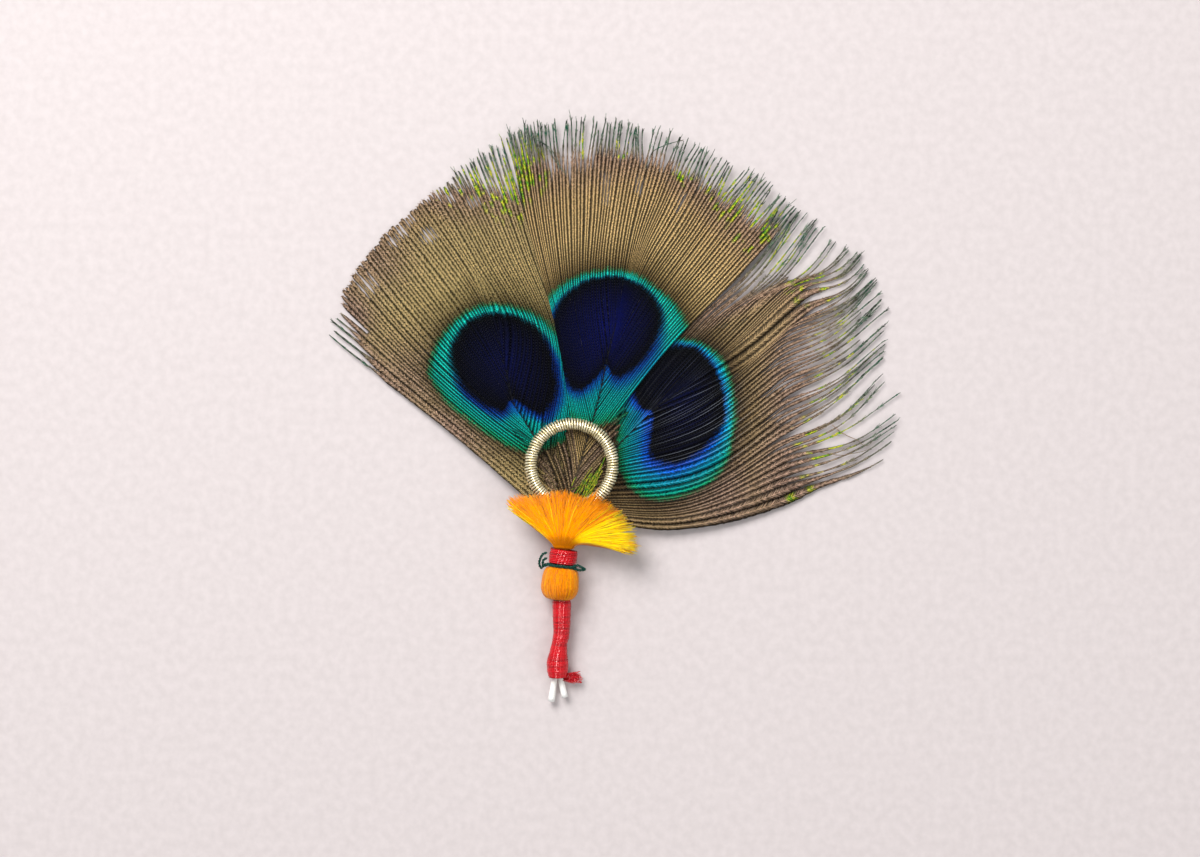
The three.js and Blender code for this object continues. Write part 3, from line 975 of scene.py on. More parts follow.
@dataclass
class Feather:
    """One tail covert: its shaft, and a vane of separate barbs around the eye.

    Lengths are in millimetres. A barb's reach is the distance along it as a share of its dense part.

    Attributes:
        name: of the feather's solid, which its pieces' names start with.
        side: where it lies in the fan.
        shaft: plan points of its shaft from the tassel to the eye.
        guides: barb lines that shape its vane, from its left edge over its tip to its right edge.
        eye: the eye's outlines.
        finish: the barbs' colours.
        quill: plan points of the cut quill below the stem.
        quill_radius: of the shaft's cut end.
        lime: where barbs have lime green dashes.
        wine: where the bronze is worn to a mauve brown.
        bare: where barbs have parted and lost their barbules.
        painted_rib_glints: where ribs shine grey.
        strays: loose barbs.
        curl: how far loose barbs bend towards -X and -Y.
        gap_shade: how wide and dark the gaps between barbs are outside the eye.
        stations: points along a barb.
        barb_width: greatest width of a barb with its barbules.
        thread_width: width of a loose barb.
        fringe_sway: how far loose barbs stray sideways.
        gather: how far neighbours' tips are drawn together, from 0 to 1, at the first barb and the last.
        parting: reach at which barbs start to part from each other, and at which they have.
        broken: share of the barbs that are broken off.
        kept: least and greatest share of its length that a broken barb keeps.
        barbule_pitch: distance between barbules.
        shaft_sink: how deep the shaft is sunk in the vane.
        foot: distances from the shaft's end between which short barbs fill the vane's foot.
        foot_spacing: distance between short barbs.
        foot_length: of the short barbs, least and greatest.
        foot_lift: height of the short barbs above the vane.
    """

    name: str
    side: Side
    shaft: tuple[Point, ...]
    guides: tuple[BarbGuide, ...]
    eye: Eye
    finish: BarbFinish
    quill: tuple[Point, ...] = ()
    quill_radius: float = 0.42
    lime: tuple[Spot, ...] = ()
    wine: tuple[Spot, ...] = ()
    bare: tuple[Spot, ...] = ()
    painted_rib_glints: tuple[Spot, ...] = ()
    strays: tuple[Stray, ...] = ()
    curl: Point = (0.0, 0.0)
    gap_shade: float = 1.0
    stations: int = 120
    barb_width: float = 1.7
    thread_width: float = 0.32
    fringe_sway: float = 0.5
    gather: Point = (0.22, 0.22)
    parting: Point = (0.93, 1.07)
    broken: float = 0.04
    kept: Point = (0.8, 0.94)
    barbule_pitch: float = 0.37
    shaft_sink: float = 0.14
    foot: Point = (18.0, 37.0)
    foot_spacing: float = 0.46
    foot_length: Point = (8.0, 11.0)
    foot_lift: float = -0.1

    def shaft_points(self) -> Array:
        """The shaft's path from the cut quill to its end under the eye, with heights.

        Returns:
            Its points, in order.
        """
        is_centre = self.side is Side.CENTRE
        aside = 0.5 * self.side.value
        stack, lowest_y = (0.85, -34.6) if is_centre else (0.0, -math.inf)
        low = [(x, y, stem_height(y)) for x, y in reversed(self.quill)]
        stem = [(x + aside, max(y, lowest_y)) for x, y in reversed(STEM_AXIS)]
        middle = [(x, y, stem_height(y) + stack) for x, y in stem]
        fan = []
        for x, y in self.shaft:
            top = FAN.height(x, y, is_centre) + FAN.thickness / 2 + FAN.shaft_ridge
            fan.append((x, y, top - self.shaft_sink - mix(*FAN.shaft_radius, FAN.fraction(x, y))))
        return np.array([*low, *middle, *fan])

    def shaft_path(self) -> tuple[Array, Array, float]:
        """The shaft in plan, at even steps.

        Returns:
            Its points, its direction at each, and its whole length.
        """
        path = even_curve(self.shaft_points(), SHAFT_STEPS)
        plan = path[:, :2]
        return plan, unit(np.gradient(plan, axis=0)), distances(path)[-1]

    def build_shaft(self) -> bpy.types.Object:
        """Makes the shaft as one tapering rod.

        Returns:
            The finished object.
        """
        line = even_curve(self.shaft_points(), 90)
        at = distances(line)
        in_fan = np.where(line[:, 1] > FAN.neck[1], FAN.fraction(line[:, 0], line[:, 1]), 0)
        base, end = FAN.shaft_radius
        radius = mix(self.quill_radius, base, smoothstep(at, 0, 5)) + in_fan * (end - base)
        piece = Strands(f"{self.name}_shaft", sides=12).build(
            line[None], radius, radius, attributes={"along": at / at[-1]})
        piece.data.materials.append(ShaftFinish().build())
        return piece

    def barb_lines(self, across: Array) -> tuple[Array, Array]:
        """The plan lines of barbs, and the fraction of each that is joined to its neighbours.

        Args:
            across: each barb's place across the vane, from 0 at the first guide to 1 at the last.

        Returns:
            Points by barb and station, and one fraction for each barb.
        """
        tips = np.array([g.tip for g in self.guides])
        fine = even_positions(tips, 400)
        at = np.interp(across, np.linspace(0, 1, len(fine)), fine)

        # Barbs leave the shaft on its left where the guides' distance is positive, on its right elsewhere.
        index = np.linspace(0, 1, len(self.guides))
        back = np.interp(at, index, [g.back for g in self.guides])
        dense = np.interp(at, index, [g.dense for g in self.guides])
        plan, forward, length = self.shaft_path()
        place = (1 - np.abs(back) / length) * (SHAFT_STEPS - 1)
        columns = np.arange(SHAFT_STEPS)
        root, ahead = (
            np.stack([np.interp(place, columns, table[:, i]) for i in (0, 1)], axis=-1)
            for table in (plan, forward)
        )
        shaft_side, merging = 0.1, 4
        aside = np.clip(back / merging, -1, 1) * shaft_side
        root = root + quarter_turn(ahead) * aside[:, None]
        near = smooth_curve(np.array([g.near for g in self.guides]), at)
        far = smooth_curve(np.array([g.far for g in self.guides]), at)
        corners = np.stack([root, near, far, smooth_curve(tips, at)])
        along = np.linspace(0, 1, self.stations)
        lines = smooth_curve(corners.reshape(4, -1), along).reshape(self.stations, len(across), 2)
        return lines.transpose(1, 0, 2), dense

    def barb_places(self) -> Array:
        """Spaces the barbs along the vane's edge at the guides' pitch.

        Returns:
            Each barb's place across the vane, from 0 to 1.
        """
        tips = np.array([g.tip for g in self.guides])
        fine = np.linspace(0, 1, 1000)
        length = distances(smooth_curve(tips, fine))
        pitch = np.interp(fine, np.linspace(0, 1, len(tips)), [g.pitch for g in self.guides])
        number = np.concatenate([[0], np.cumsum(np.diff(length) / pitch[1:])])
        count = int(number[-1])
        wanted = np.arange(count) + 0.5 + RNG.uniform(-0.16, 0.16, count)
        return np.interp(wanted, number, length / length[-1])

    def lay_out(self) -> Vane:
        """Works out where every barb of the vane lies.

        Returns:
            Where they lie.
        """
        across = self.barb_places()
        lines, dense = self.barb_lines(across)
        count = len(lines)

        # Some barbs are broken short, though none at the vane's two edges, and no two are equally long.
        away_from_edges = np.abs(across - 0.5) < 0.44
        snapped = (RNG.random(count) < self.broken) & away_from_edges
        kept = np.where(snapped, RNG.uniform(*self.kept, count), RNG.uniform(0.965, 1.0, count))
        kept = np.where(dense > 1, RNG.uniform(0.985, 1.0, count), kept)[:, None]
        along = np.linspace(0, 1, self.stations)[None] * kept
        lines = sample(lines, np.arange(count)[:, None], along * (self.stations - 1))
        return self.vane_of(lines, along / dense[:, None], 1 / dense.min(), self.gather)

    def lay_out_foot(self) -> Vane:
        """Works out where the short barbs lie that fill the vane's foot, on both sides of the shaft.

        Returns:
            Where they lie.
        """
        # Degrees: a short barb's lean at the shaft, its growth to the tip, its chance part and its mean.
        lean, growth, wobble, mean_lean = 21, 13, 3, 25
        plan, forward, length = self.shaft_path()
        along_shaft = self.foot_spacing / math.sin(math.radians(mean_lean))
        each = round((self.foot[1] - self.foot[0]) / along_shaft)
        count, stations = 2 * each, self.stations // 4
        side = np.repeat([-1.0, 1.0], each)
        back = np.tile(np.linspace(*self.foot, each), 2) + RNG.uniform(-0.1, 0.1, count)
        at = ((1 - back / length) * (SHAFT_STEPS - 1)).astype(int)
        size = RNG.uniform(*self.foot_length, count)
        along = np.linspace(0, 1, stations)[None]
        angle = np.radians(lean + growth * along + RNG.uniform(-wobble, wobble, (count, 1))) * side[:, None]
        ahead = forward[at][:, None]
        way = ahead * np.cos(angle)[..., None] + quarter_turn(ahead) * np.sin(angle)[..., None]
        lines = plan[at, None] + np.cumsum(way * (size / stations)[:, None, None], axis=1)
        vane = self.vane_of(lines, np.broadcast_to(along * 0.88, (count, stations)), 1.3)
        vane.spacing[:] = self.foot_spacing
        vane.centres[..., 2] += self.foot_lift
        vane.values["wine"] = np.broadcast_to(RNG.uniform(0.2, 0.8, (count, 1)), (count, stations))
        return vane

    def lay_out_strays(self) -> Vane:
        """Works out where the loose barbs lie that have slipped across the others.

        Returns:
            Where they lie.
        """
        lines = np.stack([even_curve(np.array(stray.line), self.stations // 4) for stray in self.strays])
        low, high, lime, lift = np.array([(*s.reach, s.lime, s.lift) for s in self.strays]).T[..., None]
        share = np.linspace(0, 1, lines.shape[1])[None]
        vane = self.vane_of(lines, mix(low, high, share), 1.5)
        vane.spacing[:] = 0.2
        vane.centres[..., 2] += lift
        vane.values["lime"] = np.broadcast_to(lime, vane.spacing.shape)
        return vane

    def vane_of(self, lines: Array, reach: Array, tip_reach: float, gather: Point = (0.0, 0.0)) -> Vane:
        """Gives barbs their sway, heights and place in the eye.

        Args:
            lines: their plan lines, by barb and station.
            reach: distance along each as a share of its dense part.
            tip_reach: the reach at which barbs are as loose as they get.
            gather: how far the tips of each few neighbours are drawn together, from 0 to 1, at the first
                barb and at the last.

        Returns:
            The vane.
        """
        shape = reach.shape
        count = shape[0]

        # The edge of the dense vane is ragged, and barbs part there and where the vane is bare.
        uneven = wander((1, count), max(4, count // 7)).T * 0.03 + RNG.normal(0, 0.018, (count, 1))
        loose = smoothstep(reach + uneven, 0.97, tip_reach)
        apart = smoothstep(reach + uneven, *self.parting)
        apart = np.maximum(apart, spotted(self.bare, lines[..., 0], lines[..., 1]))

        # Loose barbs sway, curl and stick to their neighbours in groups of about four.
        sway = wander(shape, 6) * 0.05 + loose * wander(shape, 6) * self.fringe_sway
        lines = lines + left_of(lines) * sway[..., None]
        bent = 2 * loose * (1 - loose) * (1 + 0.5 * wander((1, count), max(4, count // 9)).T)
        lines = lines - bent[..., None] * np.array(self.curl)
        if any(gather):
            starts = RNG.random(count) < 0.27
            starts[0] = False
            group = np.cumsum(starts)
            middles = np.stack([lines[group == number].mean(axis=0) for number in range(group[-1] + 1)])
            drawn = np.linspace(*gather, count)[:, None] * loose
            lines = mix(lines, middles[group], drawn[..., None])

        normal = left_of(lines)
        step = np.abs(np.sum(np.diff(lines, axis=0) * normal[1:], axis=-1))
        spacing = (np.concatenate([step[:1], step]) + np.concatenate([step, step[-1:]])) / 2

        # Every second barb lies a little higher, which shows the rows, and loose barbs rise.
        x, y = lines[..., 0], lines[..., 1]
        layer = by_turns(count, 0.03, -0.02) + RNG.uniform(-0.02, 0.02, (count, 1))
        height = FAN.height(x, y, self.side is Side.CENTRE) + 0.08 + layer * (1 - apart)
        height = height + apart * (0.1 + 0.2 * (1 + wander(shape, 6)) * loose)

        length = np.cumsum(np.linalg.norm(np.diff(lines, axis=1, prepend=lines[:, :1]), axis=-1), axis=1)
        level, distal = self.eye.level(x, y, RNG.normal(0, 0.09, (count, 1)))
        lime = spotted(self.lime, x, y)
        dashes = wander(shape, 45) + RNG.uniform(-0.5, 0.4, (count, 1)) + 0.7 * np.maximum(0, lime - 1)
        return Vane(
            np.concatenate([lines, height[..., None]], axis=-1), normal, spacing, apart, loose,
            {"level": level, "distal": distal, "reach": reach, "along": length,
             "lime": lime * smoothstep(dashes, 0.0, 0.6), "wine": spotted(self.wine, x, y)},
        )

    def build_barbs(self, vane: Vane, name: str, light: float = 0.0, narrow: float = 1.0) -> bpy.types.Object:
        """Makes the barbs' dark webs, which narrow to thin threads beyond the dense vane.

        Args:
            vane: where the barbs lie.
            name: the piece's name after the feather's.
            light: how much brighter the barbs are than the webs under barbules.
            narrow: share of their usual width.

        Returns:
            The finished object.
        """
        shape = vane.spacing.shape
        count = shape[0]

        # A web fills the room between barbs, and a loose barb is a thread with clumps on it.
        teeth = 1 + RNG.uniform(-0.1, 0.1, shape)
        web = np.clip(vane.spacing * mix(0.62, 0.3, vane.apart), 0.12, self.barb_width / 2) * teeth
        clump = 1 + 0.35 * smoothstep(wander(shape, 70), 0.0, 0.9)
        thread = self.thread_width / 2 * clump * mix(1.0, 0.6, vane.loose)
        taper = mix(1, 0.5, smoothstep(np.linspace(0, 1, shape[1])[None], 0.985, 1))
        half_width = mix(web, thread, vane.apart) * taper * narrow
        roll = by_turns(count, 0.06, -0.04) * (1 - vane.apart) + vane.apart * wander(shape, 30)
        # With light 0 the webs take the lowest tone: dark, partly as the barbs' own dark rami and partly as
        # painted shade in the gaps between barbules.
        tone = RNG.uniform(0.3, 1.2, (count, 1)) * light
        tone = tone + RNG.uniform(0, 0.1, (count, 1)) + vane.apart * RNG.uniform(0.25, 0.6, (count, 1))
        piece = Strands(f"{self.name}_{name}").build(
            vane.centres, half_width, mix(0.06, 0.08, vane.apart), roll, {**vane.values, "tone": tone})
        piece.data.materials.append(self.finish.build())
        return piece

    def build_ribs(self, vane: Vane) -> bpy.types.Object:
        """Makes the rib that runs along the middle of each barb, painted lighter than the barbules as a
        highlight.

        Args:
            vane: where the barbs lie.

        Returns:
            The finished object.
        """
        shape = vane.spacing.shape
        every = slice(None, None, 2)
        lines = vane.centres[:, every] + 0.1 * UP

        # Ribs are thinner on loose barbs and in the dark heart.
        half = np.clip(vane.spacing * 0.09, 0.035, 0.07) * mix(1, 0.55, vane.apart)
        half = half * mix(1.0, 0.6, smoothstep(vane.values["level"], 0.15, -0.05))
        # Ribs take a higher tone than the barbules: a painted highlight along each barb's crest.
        tone = RNG.uniform(0.85, 1.2, (shape[0], 1))
        # Painted highlight: some ribs in the right feather's heart are painted grey where they catch the
        # light.
        painted_rib_glint = spotted(self.painted_rib_glints, vane.centres[..., 0], vane.centres[..., 1])
        painted_rib_glint = painted_rib_glint * RNG.uniform(0.2, 1, (shape[0], 1)) * smoothstep(wander(shape, 9), -0.6, 0.5)
        values = {key: value[:, every] for key, value in {**vane.values, "painted_rib_glint": painted_rib_glint}.items()}
        piece = Strands(f"{self.name}_ribs", sides=3).build(
            lines, half[:, every], 0.04, 0.0, {**values, "tone": tone, "across": 0.0})
        piece.data.materials.append(self.finish.build())
        return piece

    def barbule_places(self, vane: Vane) -> tuple[Array, ...]:
        """Chooses where barbules leave their barbs: close together, and in clumps on loose barbs.

        Args:
            vane: where the barbs lie.

        Returns:
            For each barbule its barb, its side (-1 or 1), its place by station, how much it belongs to a
            clump, and how far its barb is apart from the others there.
        """
        lengths = vane.values["along"]
        steps = [np.arange(0.4, length[-1] - 0.2, self.barbule_pitch) for length in lengths]
        barb = np.concatenate([np.full(2 * len(step), number) for number, step in enumerate(steps)])
        side = np.concatenate([np.repeat([-1.0, 1.0], len(step)) for step in steps])
        wanted = np.concatenate([np.tile(step, 2) for step in steps])
        wanted = wanted + RNG.uniform(-0.35, 0.35, len(wanted)) * self.barbule_pitch
        columns = np.arange(vane.spacing.shape[1])
        place = np.concatenate([
            np.interp(wanted[barb == number], length, columns) for number, length in enumerate(lengths)
        ])
        clumped = smoothstep(sample(wander(vane.spacing.shape, 45), barb, place), 0.1, 0.8)
        apart = sample(vane.apart, barb, place)
        keep = RNG.random(len(place)) < mix(1.0, 0.12 + 0.5 * clumped, apart ** 2)
        return tuple(value[keep] for value in (barb, side, place, clumped, apart))

    def build_barbules(self, vane: Vane, name: str, light: float = 1.0) -> bpy.types.Object:
        """Makes the barbules, which leave each barb on both sides and lean towards its tip.

        Real ones stand 0.1 mm apart; these stand `barbule_pitch` apart and are as much wider.

        Args:
            vane: where the barbs lie.
            name: the piece's name after the feather's.
            light: how bright the barbules are.

        Returns:
            The finished object.
        """
        barb, side, place, clumped, apart = self.barbule_places(vane)
        count, barbs = len(barb), len(vane.spacing)
        root, aside, spacing = (
            sample(table, barb, place) for table in (vane.centres, vane.normal, vane.spacing)
        )
        values = {
            key: sample(np.broadcast_to(value, vane.spacing.shape), barb, place)[:, None]
            for key, value in vane.values.items()
        }

        # A barbule reaches almost to the next barb's, and is short where its barb is loose.
        half = np.minimum(spacing / 2, self.barb_width / 2)
        gap_shade = mix(1.0, self.gap_shade, smoothstep(values["level"][:, 0], 0.9, 1.2))
        joined = half - mix(0.1, 0.05, smoothstep(half, 0.22, 0.38)) * gap_shade
        cover = mix(joined, np.minimum(half, 0.15 + 0.17 * clumped), smoothstep(apart, 0, 0.8))
        angle = np.radians(mix(38, 16, apart) + RNG.normal(0, 4, count))
        size = np.clip(cover / np.sin(angle), 0.15, 1.9) * RNG.uniform(0.8, 1.05, count)
        way = -quarter_turn(aside) * np.cos(angle)[:, None] + aside * (np.sin(angle) * side)[:, None]
        ends = np.array([0.0, 1.0])
        lines = root[:, None, :2] + way[:, None] * (size[:, None] * ends)[..., None]
        rise = mix(0.07, 0.05 + RNG.uniform(0, 0.07, (count, 1)), ends[None])
        lines = np.concatenate([lines, root[:, None, 2:] + rise[..., None]], axis=-1)
        thick = self.barbule_pitch * mix(0.24, 0.18, apart)[:, None] * np.array([1.0, 0.6])

        # Barbs differ in brightness at random, and every second one is darker in the blue-green around the
        # heart: painted shade that stands for the dark gaps between barbs there.
        jitter = RNG.normal(0, 0.09, barbs)[barb][:, None]
        level, values["distal"] = self.eye.level(lines[..., 0], lines[..., 1], jitter)
        values["level"] = level
        each = RNG.uniform(0.78, 1.2, barbs)[barb][:, None]
        banded = smoothstep(level, 0.0, 0.12) * smoothstep(level, 1.15, 0.95)
        each = each * mix(1.0, by_turns(barbs, 0.6, 1.22)[barb], banded)
        varied = 0.45 + 0.6 * RNG.random((count, 1)) * mix(1, 0.7, apart)[:, None]
        values["tone"] = light * each * varied
        # Barbules darken towards their ends, as painted shade where they meet the next barb's; less so where
        # barbs are apart.
        values["edge"] = ends[None] * (mix(1, 0.3, apart) * gap_shade)[:, None]
        values["across"] = 0.0
        piece = Strands(f"{self.name}_{name}", sides=3, rows=24).build(lines, thick, 0.03, 0.0, values)
        piece.data.materials.append(self.finish.build())
        return piece

    def build(self) -> None:
        """Makes the shaft, the barbs and their barbules, which stand for the feather's solid."""
        vane, foot = self.lay_out(), self.lay_out_foot()
        pieces = [
            self.build_shaft(), self.build_barbs(vane, "barbs"), self.build_ribs(vane),
            self.build_barbules(vane, "barbules"), self.build_barbs(foot, "foot_barbs"),
            self.build_barbules(foot, "foot_barbules", 0.8),
        ]
        if self.strays:
            pieces.append(self.build_barbs(self.lay_out_strays(), "stray_barbs", 1.25, 0.5))
        attach(pieces, self.name)


# ---------- the ring ----------


@dataclass
class WireRing:
    """A ring of coiled wire that lies on the foot of the fan.

    Attributes:
        radius: to the middle of the coil.
        coil: outer radius of the coil.
        wire: diameter of the wire.
        turns: turns of the wire around the ring.
    """

    radius: float = 6.9
    coil: float = 1.05
    wire: float = 0.34
    turns: int = 98

    def middle_line(self, count: int) -> Array:
        """Points of the ring's middle line, closed, tilted as the ring's solid is.

        Args:
            count: how many points.

        Returns:
            The points, the last one on the first.
        """
        low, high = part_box("gold_ring")
        middle = (low.z + high.z) / 2 / MM
        lean = ((high.z - low.z) / MM - 2 * self.coil) / 2
        turn = np.linspace(0, math.tau, count)
        x, y = self.radius * np.cos(turn), self.radius * np.sin(turn)
        return np.stack([x, y, middle - lean * y / self.radius], axis=-1)

    def build(self) -> None:
        """Makes the wire, and the dark core that shows between its turns as painted shade."""
        steps_per_turn = 14
        line = self.middle_line(self.turns * steps_per_turn + 1)
        uneven = wander((1, len(line)), 160)[0] * 0.07
        coil = helix(line, self.coil - self.wire / 2 + 0.02 + uneven, self.turns)
        wire = Strands("gold_ring_wire", sides=6).build(coil[None], self.wire / 2, self.wire / 2)
        inside = self.coil - self.wire * 0.95
        core = Strands("gold_ring_core", sides=12).build(self.middle_line(120)[None], inside, inside)
        wire.data.materials.append(WireFinish().build())
        # The core's dark brown is painted shade in the gaps between the wire's turns.
        core.data.materials.append(WireFinish("painted_shade_brass_core", "4A3E20", "2A2210").build())
        attach((wire, core), "gold_ring")


# ---------- the tassel ----------


@dataclass(frozen=True)
class SkirtLayer:
    """A layer of the tassel's skirt.

    Attributes:
        reach: of its strands, as a share of the skirt's outline.
        width: as a share of the skirt's.
        foot: lowest and highest strands at the neck.
        middle: the same at 0.4 of its reach.
        hem: the same at its hem.
        strands: how many fine strands it has.
        locks: how many broad locks lie inside it, so that it is thick.
    """

    reach: float
    width: float
    foot: Point
    middle: Point
    hem: Point
    strands: int
    locks: int

    def heights(self, share: Array, depth: Array) -> Array:
        """Heights of strands.

        Args:
            share: places along them, from 0 to 1.
            depth: each strand's place in the layer's height, from -1 to 1.

        Returns:
            One height by strand and place.
        """
        low, high = (
            mix(mix(foot, middle, smoothstep(share, 0, 0.4)), hem, smoothstep(share, 0.4, 1))
            for foot, middle, hem in zip(self.foot, self.middle, self.hem)
        )
        return mix(low[None], high[None], (depth[:, None] + 1) / 2)


@dataclass
class Tassel:
    """The silk tassel: a bound head, and a skirt of loose strands over and under the fan's foot.

    Attributes:
        head_middle: x, y and height of the head's middle.
        head_tilt: turn of the head's axis from +Y, in degrees.
        head_profile: radius and distance along that axis.
        head_strands: how many strands run over the head.
        foot: where the skirt's strands fan out from, in plan.
        waist: half the skirt's width where it leaves the neck.
        start: how far along +Y from the foot the strands start.
        outline: the skirt's outline by direction, in degrees clockwise from +Y, and reach.
        over: the layer over the fan.
        under: the layer under the fan.
        silk: the finish.
    """

    head_middle: Place = (-1.95, -19.6, 2.85)
    head_tilt: float = -5.0
    head_profile: tuple[Point, ...] = (
        (0, -3.15), (1.5, -3.15), (2.3, -2.9), (2.9, -2.2), (3.18, -1.2), (3.15, -0.2), (3.05, 0.9),
        (2.8, 1.7), (2.4, 2.15), (1.4, 2.5), (0, 2.5),
    )
    head_strands: int = 330
    foot: Point = (-1.3, -15.2)
    waist: float = 1.75
    start: float = 1.1
    outline: tuple[Point, ...] = (
        (-50, 12.4), (-42, 13.2), (-25, 11.2), (0, 10.9), (18, 10.4), (35, 11.5), (57, 12.2), (80, 12.6),
        (90, 11.9),
    )
    over: SkirtLayer = SkirtLayer(1.0, 1.0, (2.9, 4.5), (4.25, 6.5), (4, 6.35), strands=1450, locks=34)
    under: SkirtLayer = SkirtLayer(0.52, 0.6, (1.2, 2.8), (0.3, 1.6), (0.1, 1.1), strands=380, locks=26)
    silk: ThreadFinish = ThreadFinish(
        "orange_rayon_silk", "DC7400", "FE9C00", "FFEE14", roughness=0.4, sheen=0.1, shine=0.3)

    def strand_lines(
        self, layer: SkirtLayer, side: Array, depth: Array, lengths: Array, stations: int,
    ) -> Array:
        """Centre lines of strands of the skirt.

        Args:
            layer: the layer that they lie in.
            side: each strand's place from side to side, from -1 to 1.
            depth: each strand's place in the layer's height, from -1 to 1.
            lengths: each strand's length as a share of the layer's reach there.
            stations: points along each strand.

        Returns:
            Points by strand and station.
        """
        outline = smooth_curve(np.array(self.outline), (side * layer.width + 1) / 2)
        direction = np.radians(outline[:, 0])
        length = outline[:, 1] * layer.reach * lengths

        # Each strand leaves the neck straight and then bends into its own direction.
        start_y = np.full_like(side, self.foot[1] + self.start)
        start = np.stack([self.foot[0] + side * self.waist * 0.9, start_y], -1)
        bend = start + np.stack([side * 0.9, np.full_like(side, 2.4)], -1)
        end = np.array(self.foot) + np.stack([np.sin(direction), np.cos(direction)], -1) * length[:, None]
        t = np.linspace(0, 1, stations)[:, None]
        plan = (1 - t) ** 2 * start[:, None] + 2 * t * (1 - t) * bend[:, None] + t * t * end[:, None]
        share = t[:, 0]
        height = layer.heights(share, depth)
        lines = np.concatenate([plan, height[..., None]], axis=-1)
        spread = smoothstep(share, 0.1, 1.0)[None, :, None]
        lines[..., :2] += np.stack([wander(height.shape, 6), wander(height.shape, 6)], -1) * 0.22 * spread
        lines[..., 2] += wander(height.shape, 5) * 0.1 * spread[..., 0]
        return lines

    def build_skirt(self, name: str, layer: SkirtLayer) -> bpy.types.Object:
        """Makes a layer of the skirt.

        Args:
            name: the piece's name.
            layer: the layer.

        Returns:
            The finished object.
        """
        stations = 15
        strands, locks = layer.strands, layer.locks
        loose_side = np.sin(RNG.uniform(-1, 1, strands) * math.pi / 2) * 0.7
        loose_side = loose_side + RNG.uniform(-0.3, 0.3, strands)
        side = np.concatenate([
            np.sin(np.linspace(-1, 1, locks) * math.pi / 2 * 0.97) * 0.84,
            np.clip(loose_side, -1, 1),
        ])
        rim = np.sqrt(np.maximum(0, 1 - side ** 2))
        shell = np.where(RNG.random(strands) < 0.75, 1, -1) * RNG.uniform(0.66, 1.0, strands)
        depth = rim * np.concatenate([np.zeros(locks), shell])

        # Strands end unevenly, and a few in the middle stand out of the hem.
        uneven = 1 - 0.13 * RNG.random(strands) ** 1.5 + 0.045 * RNG.random(strands) ** 6
        raised = 0.24 * np.exp(-((side[locks:] - 0.15) / 0.045) ** 2) * RNG.random(strands)
        lengths = np.concatenate([np.full(locks, 0.82), uneven + raised])
        lines = self.strand_lines(layer, side, depth, lengths, stations)

        count = len(side)
        is_lock = (np.arange(count) < locks)[:, None]
        share = np.linspace(0, 1, stations)[None]
        fine = RNG.uniform(0.055, 0.1, (count, 1)) * (1 - 0.6 * smoothstep(share, 0.85, 1))
        thick = (layer.middle[1] - layer.middle[0]) / 2
        lock_high = thick * 0.5 * rim[:, None] * mix(1, 0.75, smoothstep(share, 0.7, 1)) + 0.06
        lock_wide = mix(0.35, 0.72, smoothstep(share, 0, 0.8))
        piece = Strands(name, sides=3, rows=8).build(
            lines, np.where(is_lock, lock_wide, fine), np.where(is_lock, lock_high, fine),
            attributes={
                "tone": np.where(is_lock, 0.1, RNG.uniform(0, 1, (count, 1))),
                "along": share * 12,
                "painted_sheen": self.painted_sheen(lines) * ~is_lock,
            },
        )
        piece.data.materials.append(self.silk.build())
        return piece

    def painted_sheen(self, lines: Array) -> Array:
        """Picks strands that get a painted yellow sheen, most of them at the skirt's right side and left
        edge.

        Args:
            lines: the strands, by strand and station.

        Returns:
            How much of the painted sheen each point has.
        """
        chance = RNG.random((len(lines), 1))
        hem = lines[:, -1]
        direction = np.degrees(np.arctan2(hem[:, 0] - self.foot[0], hem[:, 1] - self.foot[1]))[:, None]
        wanted = 0.01 + 0.92 * smoothstep(direction, 40, 60) + 0.6 * smoothstep(-direction, 41, 50)
        along = np.linspace(0, 1, lines.shape[1])[None]
        amount = np.where(chance < wanted, RNG.uniform(0.35, 1, chance.shape), 0.0)
        return amount * smoothstep(along, 0.15, 0.5)

    def build_head(self) -> list[bpy.types.Object]:
        """Makes the head: its padded ball, and the strands that run over it from end to end.

        Returns:
            The finished objects.
        """
        inside = [(radius * 0.96, along * 0.97) for radius, along in self.head_profile]
        ball = turned_body("tassel_head_core", inside, self.head_middle, self.head_tilt)
        count, stations = self.head_strands, 20
        radius, along = even_curve(np.array(self.head_profile[1:-1]), stations).T
        turn = (np.arange(count)[:, None] + RNG.uniform(-0.5, 0.5, (count, 1))) / count * math.tau
        turn = turn + wander((count, stations), 5) * 0.035
        radius = radius[None] + RNG.uniform(-0.09, 0.0, (count, 1)) - 0.05
        level = np.broadcast_to(along, turn.shape)
        local = np.stack([radius * np.cos(turn), level, radius * np.sin(turn)], -1)
        lines = local @ np.stack([*tilted(self.head_tilt), UP]) + np.array(self.head_middle)
        # A few strands, chosen at random, carry a faint painted sheen.
        strands = Strands("tassel_head_strands", sides=3, rows=2).build(
            lines, 0.07, 0.06,
            attributes={
                "tone": RNG.uniform(-0.1, 0.3, (count, 1)) + wander((count, stations), 6) * 0.2,
                "along": along,
                "painted_sheen": np.where(RNG.random((count, 1)) < 0.08, 0.22, 0.0),
            },
        )
        for piece in (ball, strands):
            piece.data.materials.append(self.silk.build())
        return [ball, strands]

    def build(self) -> None:
        """Makes the head and both layers of the skirt, which stand for the tassel's solid."""
        pieces = self.build_head()
        pieces.append(self.build_skirt("tassel_skirt_over", self.over))
        pieces.append(self.build_skirt("tassel_skirt_under", self.under))
        attach(pieces, "silk_tassel")


# ---------- wrappings and tie ----------


